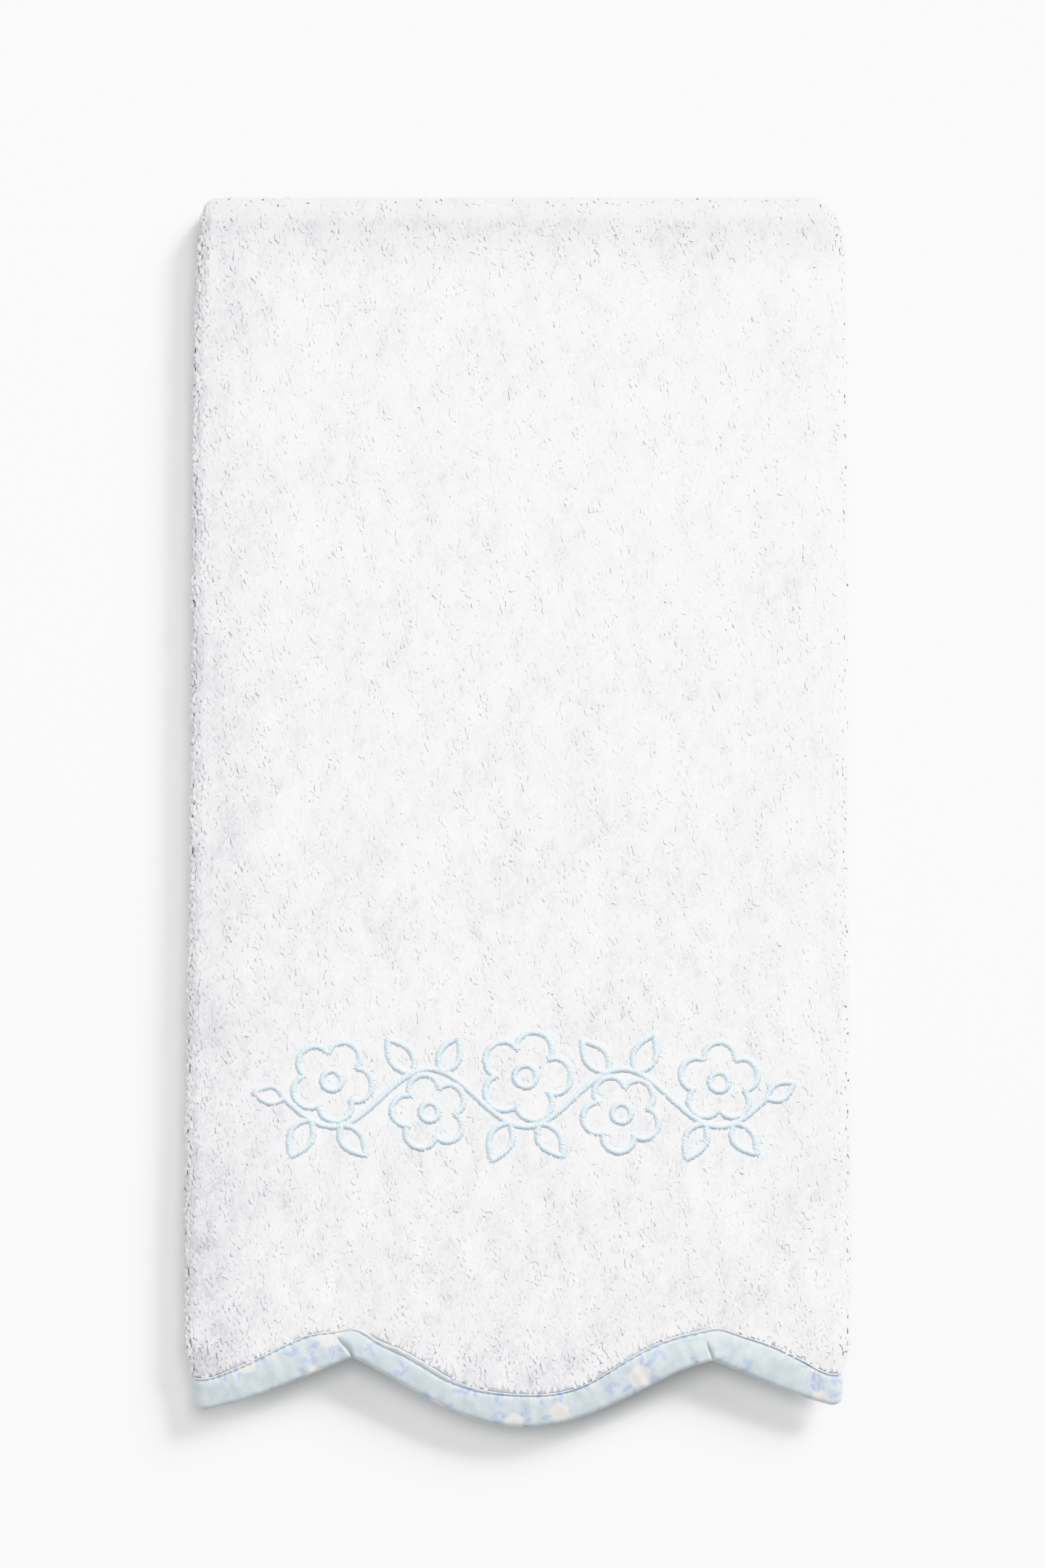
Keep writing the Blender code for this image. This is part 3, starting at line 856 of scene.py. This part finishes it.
# Each loop: its heading, half its length, half the yarn's thickness, how far its
# top leans, and its height
wild = random.random(count) < WILD
heading = np.where(wild, random.uniform(0, math.pi, count),
                   math.pi / 2 + random.normal(0, HEADING_SPREAD, count))
half_length = random.uniform(*HALF_LENGTH, count) * np.where(under, UNDER_LONGER, 1.0)
for shorter, away, within in ((SHORT_AT_VINE[0], near_vine - BARE, SHORT_AT_VINE[1]),
                              (SHORT_AT_BINDING[0], near, SHORT_AT_BINDING[1])):
    half_length = half_length * mix(shorter, 1.0, ease(away / within))
yarn = random.uniform(*YARN_HALF, count) * np.where(under, UNDER_FULLER, 1.0)
lean_a = varied(1, *LEAN_ACROSS)
lean_b = varied(2, *LEAN_ALONG)
crest = CREST + varied(3, *HEIGHTS)

# The cloth's own directions at each loop: across, along and outwards
step = 0.1 * MM
here = place(*on_cloth(a, b), PILE_OUT)
across_way = (place(*on_cloth(a + step, b), PILE_OUT) - here) / step
along_way = (place(*on_cloth(a, b + step), PILE_OUT) - here) / step
outwards = directions(np.cross(along_way, across_way))
on_fold = ease((1 - np.abs(outwards[:, 2])) / FOLD_SLOPE)
yarn = yarn * (1 + FOLD_FULLER * on_fold)
crest = crest + on_fold * (FOLD_RISE + random.normal(0, FOLD_UNEVEN, count))
crest = mix(BINDING_CREST, crest, ease(near / PILE_FULL + BINDING_BANK))
crest = mix(crest - VINE_DIP, crest, ease((near_vine - BARE) / MM))
through = directions(outwards + FOLD_LIFT * on_fold[:, None] * np.array([0.0, 0.0, 1.0]))
nap = np.zeros((count, 3))
for number, (size, tip) in enumerate(NAP):
    nap += tip * waves(a, b * NAP_DRAWN, size, 10 + number)[:, None] * across_way
    nap += tip * waves(a, b * NAP_DRAWN, size, 20 + number)[:, None] * along_way

# The eight corners of a loop: its two feet, and two rings of three round the yarn
LOOP = np.array([
    # along, lean, across, up, height
    (-1.0, 0.0, 0.0, 0.0, 0.0),
    (-0.4, 1.0, -1.0, -0.3, 1.0), (-0.4, 1.0, 1.0, -0.3, 1.0), (-0.4, 1.0, 0.0, 0.45, 1.0),
    (0.4, 1.0, -1.0, -0.3, 1.0), (0.4, 1.0, 1.0, -0.3, 1.0), (0.4, 1.0, 0.0, 0.45, 1.0),
    (1.0, 0.0, 0.0, 0.0, 0.0),
])
LOOP_FACES = np.array([
    (0, 1, 2), (0, 2, 3), (0, 3, 1),
    (1, 5, 2), (1, 4, 5), (2, 6, 3), (2, 5, 6), (3, 4, 1), (3, 6, 4),
    (4, 7, 5), (5, 7, 6), (6, 7, 4),
])
along_a, along_b = np.cos(heading), np.sin(heading)
tilt = random.normal(0, END_TILT, count)


def stand_loops(chosen):
    """The corners of the chosen loops, as distances across, along and out."""
    ahead, lean, wide, up, tall = LOOP.T
    cos, sin = along_a[chosen, None], along_b[chosen, None]
    breadth, rise = yarn[chosen, None], crest[chosen, None] - FOOT
    go, wide = ahead * half_length[chosen, None], wide * breadth
    loop_a = a[chosen, None] + go * cos - wide * sin + lean * lean_a[chosen, None]
    loop_b = b[chosen, None] + go * sin + wide * cos + lean * lean_b[chosen, None]
    height = FOOT + tall * rise * (1 + ahead * tilt[chosen, None])
    return loop_a, loop_b, height + up * breadth


def pile_piece(name, chosen, material):
    """One joined mesh of the chosen loops."""
    loop_a, loop_b, out = stand_loops(chosen)
    corners = place(*on_cloth(loop_a, loop_b), out).reshape(-1, 3)
    corners[:, 2] = np.maximum(corners[:, 2], TABLE_CLEAR)
    mesh = joined_copies(name, LOOP_FACES, len(LOOP), corners)
    own = np.empty(len(corners) * 3)
    mesh.vertex_normals.foreach_get("vector", own)
    softness = mix(SOFTNESS, FOLD_SOFTNESS, on_fold[chosen])[:, None, None]
    facing = mix(own.reshape(len(chosen), len(LOOP), 3), through[chosen, None], softness)
    facing = directions((facing + nap[chosen, None]).reshape(-1, 3))
    mesh.shade_smooth()
    mesh.normals_split_custom_set_from_vertices(facing)
    across = (loop_a.ravel() + reach_a) / (2 * reach_a)
    along = (loop_b.ravel() - loop_b.min()) / np.ptp(loop_b)
    map_corners(mesh, "OFBake", across, along)
    piece = finish_piece(mesh, name, material)
    return piece


# The yarn's tones: the level of its mottling, and the colour there
YARN_TONES = ((0.36, (0.59, 0.59, 0.61)), (0.56, (0.685, 0.685, 0.71)), (0.78, (0.95, 0.95, 0.975)))
loop_white, tree, shader = new_material("terry_loops", 0.9, 0.2, sheen=0.2, sheen_spread=0.6)
drawn_out = add_node(tree, "Mapping", {"Vector": on_object(tree), "Scale": (1.0, 0.5, 1.0)})
patches = mottled(tree, drawn_out.outputs[0], 75.0, Detail=5.0, Roughness=0.78)
# the loops' colour carries painted shade at the top fold and the left side
colour = with_painted_fold_shade(tree, toned(tree, patches, YARN_TONES))
feed(tree, shader.inputs["Base Color"], colour)

below_fold = (LENGTH / 2 - place(*on_cloth(a, b), CREST)[:, 1]) / MM
beneath = np.flatnonzero(under)
half = len(beneath) // 2
pile_parts = {"pile_under_1": beneath[:half], "pile_under_2": beneath[half:]}
for number, (start, stop) in enumerate(CUT_PIECES, 1):
    between = ~under & (below_fold >= start) & (below_fold < stop)
    pile_parts[f"pile_front_{number}"] = np.flatnonzero(between)
pile_pieces = [pile_piece(name, chosen, loop_white) for name, chosen in sorted(pile_parts.items())]


# ---------------------------------------------------------------- the binding
# One bias strip of thin printed cotton, pale blue with small white flowers and
# blue sprigs. Its edges are turned in, it is folded over the scalloped hem, and one
# row of stitches through both legs holds it. It is tucked at the two notches.

BINDING_R = 1.4 * MM        # of the fold round the hem, at the middle of the strip
BINDING_WALL = 0.6 * MM
EDGE_SET = BINDING_R + BINDING_WALL / 2
BACK_NARROWER = 0.6 * MM    # the strip reaches this much less far in on the back
CROWN = 0.16 * MM           # the front leg stands out this much in the middle
STITCH = 2.45 * MM          # from one stitch to the next
STITCH_PULL = 0.11 * MM     # each pulls the cotton in this much more than the next gap
SEAM_DEPTH = 0.42 * MM      # the seam pulls it in this far
SEAM_REACH = 1.1 * MM       # and this far to each side
LEG_FROM = 1.3 * MM         # below the seam the front leg is free
BACK_SEAM_IN = 1.2 * MM     # from the back edge
BINDING_PITCH = 0.61 * MM   # between columns of the mesh
NOTCH_PITCH = 0.2 * MM      # and this near the notches
NOTCH_REACH = 4.0 * MM
FLAP_PITCH = 3.0 * MM       # and behind
# Soft creases all along. Each row: their size, how far they stand out, and a seed
CREASES = ((8 * MM, 0.10 * MM, 31), (3 * MM, 0.05 * MM, 32))

# How far the seam lies in from the strip's upper edge: distance across, distance.
# Right of the left notch the edge rolls up beyond the seam.
SEAM_IN = np.array([
    (-101.0, 0.9),
    (-56.0, 0.8),
    (-50.0, 1.1),
    (-40.0, 1.9),
    (-30.0, 1.7),
    (-17.0, 1.2),
    (-8.0, 0.8),
    (30.0, 0.7),
    (57.0, 1.1),
    (64.0, 0.8),
    (101.0, 0.8),
]) * MM

# Gathers across the strip: distance across, half their width, how far they slant
# from seam to edge, and depth
GATHERS = np.array([
    (-47.0, 1.6, 1.5, 0.30),
    (-42.5, 0.9, 1.5, 0.34),
    (-38.6, 1.2, 1.0, 0.30),
    (-33.5, 1.0, 0.6, 0.26),
    (-27.5, 1.3, 0.0, 0.32),
    (-24.0, 0.8, -0.5, 0.20),
    (-11.0, 1.6, 0.0, 0.14),
    (7.0, 1.4, -0.6, 0.12),
    (28.0, 1.2, 0.6, 0.16),
    (41.0, 1.0, 0.8, 0.20),
    (54.0, 1.1, 1.2, 0.26),
    (66.5, 1.0, -1.2, 0.24),
    (74.0, 1.4, -0.8, 0.16),
    (-62.0, 1.2, -0.8, 0.22),
    (-71.0, 1.4, -0.4, 0.16),
    (-84.0, 1.5, 0.0, 0.14),
    (88.0, 1.5, 0.4, 0.14),
]) * MM

GATHER_SWELL = 0.5          # beside each the cotton swells by this share of its depth

# The tucks at the notches: distance across at the hem and at their inner end, how
# much of the width they cross, and depth
TUCKS = np.array([
    (-51.25, -52.3, 0.72, 0.95),
    (60.6, 59.6, 0.55, 0.80),
])
TUCK_HALF = 0.26 * MM
TUCK_LIP = 0.30 * MM        # the cotton stands up this much beside each tuck
LIP_AWAY, LIP_HALF = 2.6 * TUCK_HALF, 1.7 * TUCK_HALF
TUCK_END, TUCK_FADE = 1.15, 0.3     # where it has run out, and over what share before

# The strip's rows, from its upper edge round the hem to its back edge. Each has its
# stretch, how far along that it lies, and the outer and inner face from the cloth's
# middle.
outer, inner = EDGE_SET, BINDING_R - BINDING_WALL / 2
seam_outer, seam_inner = outer - SEAM_DEPTH, inner - 0.3 * MM
binding_rows = [
    ("edge", 0.0, outer - 0.26 * MM, outer - 0.36 * MM),
    ("edge", 0.12 * MM, outer, inner + 0.05 * MM),
    ("edge", 0.4 * MM, outer + 0.10 * MM, inner),
    ("seam", -0.3 * MM, outer - 0.02 * MM, inner - 0.1 * MM),
    ("seam", 0.0, seam_outer, seam_inner),
    ("seam", 0.3 * MM, outer - 0.10 * MM, inner - 0.1 * MM),
    ("seam", 0.8 * MM, outer + 0.04 * MM, inner),
    *[("leg", i / 5, outer + CROWN * math.sin(math.pi * (0.25 + 0.15 * i)), inner)
      for i in range(6)],
    *[("bend", i / 8, outer, inner) for i in range(1, 9)],
    *[("back", i / 3, outer, inner) for i in range(1, 3)],
    ("back edge", BACK_SEAM_IN, seam_outer, seam_inner),
    ("back edge", 0.5 * MM, outer, inner),
    ("back edge", 0.0, outer - 0.2 * MM, inner + 0.1 * MM),
]


def seam_inward(s):
    """How far in from the hem the seam lies at s."""
    return read_table(BINDING_WIDTH, s, 1) - read_table(SEAM_IN, s, 1)


def bell(away, half):
    """1 at the middle, and fading out past this half width."""
    return np.exp(-((away / half) ** 2))


def pucker(s, inward, shows):
    """How far the strip's face stands out or sinks at a place on its front."""
    width, seam = read_table(BINDING_WIDTH, s, 1), seam_inward(s)
    down = np.clip(1 - inward / seam, 0, 1)
    rise = sum(tall * waves(s, inward, size, seed) for size, tall, seed in CREASES)
    for at, half, slant, depth in GATHERS:
        away = s - at - slant * down
        rise = rise + depth * (GATHER_SWELL * bell(away + 2 * half, half) - bell(away, half))
    pull = STITCH_PULL * np.cos(2 * math.pi * s / STITCH)
    rise = rise - pull * bell(inward - seam, SEAM_REACH)
    for at_hem, at_end, share, depth in TUCKS:
        t = inward / (share * width)
        away = s - mix(at_hem, at_end, t) * MM
        lip = TUCK_LIP * bell(away - LIP_AWAY, LIP_HALF)
        fade = ease((TUCK_END - t) / TUCK_FADE)
        rise = rise + fade * (lip - depth * MM * bell(away, TUCK_HALF))
    return rise * shows


panel_s = np.arange(-HEM_HALF + BINDING_PITCH, HEM_HALF - BINDING_PITCH / 2, BINDING_PITCH)
notch_s = [np.arange(row[0] * MM - NOTCH_REACH, row[0] * MM + NOTCH_REACH, NOTCH_PITCH)
           for row in TUCKS]
for close in notch_s:
    panel_s = panel_s[(panel_s < close[0]) | (panel_s > close[-1])]
turn_s = np.linspace(0, TURN, 11)
flap_s = TURN + np.arange(FLAP_PITCH, FLAP, FLAP_PITCH)
past_s = HEM_HALF + np.concatenate([turn_s, flap_s, [TURN + FLAP]])
strip_s = np.sort(np.concatenate([-past_s, panel_s, past_s, *notch_s]))

made = slab_mesh("printed_binding", strip_s, binding_rows)
binding_mesh, s, (stretch, along, outer_face, inner_face), face = made
reach = np.where(face > 0, outer_face, inner_face)
width, seam = read_table(BINDING_WIDTH, s, 1), seam_inward(s)
front = np.isin(stretch, ("edge", "seam", "leg"))
inward = by_stretch(stretch, {
    "edge": width - along,
    "seam": seam - along,
    "leg": mix(seam - LEG_FROM, EDGE_SET, along),
    "bend": EDGE_SET - reach * np.sin(along * math.pi),
    "back": mix(EDGE_SET, width - BACK_NARROWER - BACK_SEAM_IN, along),
    "back edge": width - BACK_NARROWER - along,
})
out = np.select([front, stretch == "bend"], [reach, reach * np.cos(along * math.pi)], -reach)
bend_front = (stretch == "bend") & (along <= 0.5)
shows = np.where(front, 1.0, np.where(bend_front, np.cos(along * math.pi), 0.0))
out = out + pucker(s, inward, shows)
u, v = in_from_hem(s, inward)
binding_mesh.vertices.foreach_set("co", place(u, v, out).ravel())
across_strip = np.select(
    [front, stretch == "bend"],
    [EDGE_SET - inward, along * math.pi * BINDING_R],
    math.pi * BINDING_R + inward - EDGE_SET,
)
map_corners(binding_mesh, "strip", s, across_strip)

# The print, in mm on the cotton: its colours, how far apart the flowers are and
# their size, and where the strip was cut
COTTON_BLUE = (0.41, 0.47, 0.50, 1.0)
COTTON_PALE = (0.475, 0.52, 0.54, 1.0)
FLOWER_WHITE = (0.575, 0.565, 0.54, 1.0)
FLOWER_HEART = (0.42, 0.34, 0.26, 1.0)
SPRIG_BLUE = (0.25, 0.31, 0.58, 1.0)
MOTIFS_EVERY = 15.0
FLOWER_RADIUS = 3.1
PETAL_REACH = 0.28          # the petals go this far out and in from there
SOFT_EDGE = 0.35            # of the flowers
WANDER = 1.1
PRINT_FROM = (3.0, 4.0, 0.0)
THREAD_PITCH = 0.36
# The leaves round each flower, and the buds of each loose sprig
SPRIGS = [
    # x, y, half the length, half the breadth, turn in degrees
    (4.8, 1.0, 2.1, 0.95, 20),
    (4.6, -1.6, 1.5, 0.8, -35),
    (-4.5, -1.8, 1.9, 0.9, 30),
    (-5.0, 0.6, 1.3, 0.7, -20),
    (1.0, 4.6, 1.6, 0.8, 80),
]
BUDS = [(0.0, 0.0, 2.1, 0.95, 0), (1.9, 1.3, 1.5, 0.8, 55), (-1.1, 1.6, 1.4, 0.75, -55)]

printed_cotton, cotton, shader = new_material("printed_cotton", 0.85, 0.25, sheen=0.12)


def maths(operation, *values, kind="Math"):
    """A maths node's result, from values or other nodes' outputs."""
    return add_node(cotton, kind, dict(enumerate(values)), operation=operation).outputs[0]


def soft_step(value, low, high):
    """Goes smoothly from 0 to 1 as the value goes from low to high."""
    span = {"Value": value, "From Min": low, "From Max": high}
    return add_node(cotton, "MapRange", span, interpolation_type="SMOOTHSTEP").outputs["Result"]


strip_map = add_node(cotton, "UVMap", {}, uv_map="strip")
on_print = add_node(cotton, "Mapping", {
    "Vector": strip_map.outputs[0], "Location": PRINT_FROM,
    "Rotation": (0.0, 0.0, math.radians(45.0)), "Scale": (1 / MM, 1 / MM, 1.0)}).outputs[0]

# The brush's wavering hand: the motifs' edges wander a little
waver = add_node(cotton, "TexNoise", {"Vector": on_print, "Scale": 0.9, "Detail": 2.0})
wandered = maths(
    "MULTIPLY_ADD", waver.outputs["Color"], (WANDER, WANDER, 0.0), on_print, kind="VectorMath")


def motif_axes(spread, seed):
    """One motif's own axes in each patch of cloth, turned at random."""
    shifted = maths("ADD", wandered, (seed * 7.3, seed * 3.1, 0.0), kind="VectorMath")
    flat = maths("MULTIPLY", shifted, (1.0, 1.0, 0.0), kind="VectorMath")
    patches = add_node(cotton, "TexVoronoi", {
        "Vector": flat, "Scale": 1.0 / MOTIFS_EVERY, "Randomness": spread}, voronoi_dimensions="2D")
    away = maths("SUBTRACT", flat, patches.outputs["Position"], kind="VectorMath")
    chance = add_node(cotton, "SeparateColor", {0: patches.outputs["Color"]})
    turned = add_node(cotton, "VectorRotate", {
        "Vector": away, "Angle": maths("MULTIPLY", chance.outputs[0], 2 * math.pi)},
        rotation_type="Z_AXIS")
    axes = add_node(cotton, "SeparateXYZ", {0: turned.outputs[0]})
    return axes.outputs[0], axes.outputs[1]


def leaf_mask(axes, at_x, at_y, length, breadth, turn):
    """A pointed leaf, placed and turned in the motif's axes."""
    cos, sin = math.cos(math.radians(turn)), math.sin(math.radians(turn))
    x, y = maths("SUBTRACT", axes[0], at_x), maths("SUBTRACT", axes[1], at_y)
    go = maths("MULTIPLY_ADD", x, cos, maths("MULTIPLY", y, sin))
    wide = maths("MULTIPLY_ADD", y, cos, maths("MULTIPLY", x, -sin))
    go = maths("POWER", maths("ABSOLUTE", maths("DIVIDE", go, length)), 1.6)
    wide = maths("POWER", maths("ABSOLUTE", maths("DIVIDE", wide, breadth)), 1.3)
    return soft_step(maths("ADD", go, wide), 1.15, 0.75)


flower_axes, bud_axes = motif_axes(0.75, 1), motif_axes(0.9, 4)
across, along = flower_axes
round_flower = maths("ARCTAN2", along, across)
from_heart = maths("SQRT", maths("ADD", maths("MULTIPLY", across, across),
                                 maths("MULTIPLY", along, along)))
petals = maths("COSINE", maths("MULTIPLY", round_flower, PETALS))
petal_edge = maths("MULTIPLY_ADD", petals, PETAL_REACH, from_heart)
flower = soft_step(petal_edge, FLOWER_RADIUS + SOFT_EDGE, FLOWER_RADIUS - SOFT_EDGE)
inner_petals = maths("SINE", maths("MULTIPLY_ADD", from_heart, 4.2, round_flower))
heart = soft_step(maths("MULTIPLY_ADD", inner_petals, 0.55, from_heart), 1.5, 0.2)
sprigs = leaf_mask(flower_axes, *SPRIGS[0])
for row in SPRIGS[1:]:
    sprigs = maths("MAXIMUM", sprigs, leaf_mask(flower_axes, *row))
for row in BUDS:
    sprigs = maths("MAXIMUM", sprigs, maths("MULTIPLY", leaf_mask(bud_axes, *row), 0.8))

dye = mottled(cotton, on_print, 0.25, Detail=4.0)
ink = maths("MULTIPLY", sprigs, soft_step(waver.outputs["Fac"], 0.30, 0.52))
colour = painted(cotton, COTTON_BLUE, COTTON_PALE, soft_step(dye, 0.35, 0.65))
for paint, share, strength in ((SPRIG_BLUE, ink, 0.55), (FLOWER_WHITE, flower, 0.92),
                               (FLOWER_HEART, heart, 0.16)):
    colour = painted(cotton, colour, paint, maths("MULTIPLY", share, strength))
feed(cotton, shader.inputs["Base Color"], colour)

# The plain weave of the cotton. A wave texture of scale 1 has 20 bands to 2 pi.
threads = [
    add_node(cotton, "TexWave", {
        "Vector": on_print, "Scale": 2 * math.pi / 20 / THREAD_PITCH, "Distortion": 0.6,
        "Detail": 1.0}, bands_direction=direction).outputs["Fac"]
    for direction in ("X", "Y")
]
roughen(cotton, shader, maths("MULTIPLY", *threads), 0.35, 0.05 * MM)

binding = finish_piece(binding_mesh, "printed_binding", printed_cotton)
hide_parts("hem_binding")


# ----------------------------------------------------------------- the stitches
# Lockstitch in blue-grey cotton thread holds the binding, and white thread the
# turned plain end. Each stitch is a short thread that arches from hole to hole.

STITCH_HALF = 0.62 * MM     # half its length
STITCH_THICK = 0.17 * MM
STITCH_ARCH = 0.16 * MM
STITCH_DIVE = 2.2           # its ends go in by more than the arch, by this less 1
HEM_STITCH = 3.0 * MM
HEM_STITCH_IN = 1.5 * MM    # the row lies this far inside the turned hem
HEM_STITCH_SUNK = 0.04 * MM

bm = bmesh.new()
bmesh.ops.create_uvsphere(bm, u_segments=6, v_segments=6, radius=1.0)
stitch_form, stitch_faces = small_form(bm)
form_across, form_up, form_along = stitch_form.T
arch = STITCH_ARCH * (1 - STITCH_DIVE * form_along ** 4)


def stitch_thread(name, dark, light):
    """Twisted cotton thread between a darker and a lighter tone."""
    material, tree, shader = new_material(name, roughness=0.7)
    twist = toned(tree, mottled(tree, on_object(tree), 2500.0), ((0.35, dark), (0.65, light)))
    feed(tree, shader.inputs["Base Color"], twist)
    return material


def stitch_row(name, at, carry, material):
    """One joined mesh of stitches, centred at these distances across. carry takes
    the distance across, inwards and up from the seam to a place on the towel."""
    s = at[:, None] + form_along[None] * STITCH_HALF
    inward = np.broadcast_to(form_across[None] * STITCH_THICK, s.shape)
    up = np.broadcast_to(arch[None] + form_up[None] * STITCH_THICK, s.shape)
    corners = carry(s, inward, up).reshape(-1, 3)
    mesh = joined_copies(name, stitch_faces, len(stitch_form), corners)
    bm = bmesh.new()
    bm.from_mesh(mesh)
    bmesh.ops.recalc_face_normals(bm, faces=bm.faces)
    bm.to_mesh(mesh)
    bm.free()
    piece = finish_piece(mesh, name, material)


def on_front_leg(s, inward, up):
    """Along the seam on the binding's front."""
    seam = seam_inward(s)
    return place(*in_from_hem(s, seam + inward), seam_outer + pucker(s, seam, 1.0) + up)


def on_back_leg(s, inward, up):
    """Along the same seam on its back."""
    seam = read_table(BINDING_WIDTH, s, 1) - BACK_NARROWER - BACK_SEAM_IN
    return place(*in_from_hem(s, seam + inward), -seam_outer - up)


def on_plain_hem(s, inward, up):
    """Along the turned hem of the plain end."""
    v = plain_end(s) + BACK_HEM - HEM_STITCH_IN + inward
    return place(unit_of_s(s), v, hem_out - HEM_STITCH_SUNK + up)


seam_thread = stitch_thread("seam_thread", (0.25, 0.31, 0.48), (0.34, 0.41, 0.58))
white_thread = stitch_thread("white_thread", (0.68, 0.68, 0.69), (0.78, 0.78, 0.78))
row_end = CLOTH_HALF - STITCH
stitch_row("seam_stitches", np.arange(-row_end, row_end, STITCH), on_front_leg, seam_thread)
stitch_row("seam_stitches_back", np.arange(-HEM_HALF, HEM_HALF, STITCH), on_back_leg, seam_thread)
stitch_row("hem_stitches", np.arange(-row_end, row_end, HEM_STITCH), on_plain_hem, white_thread)
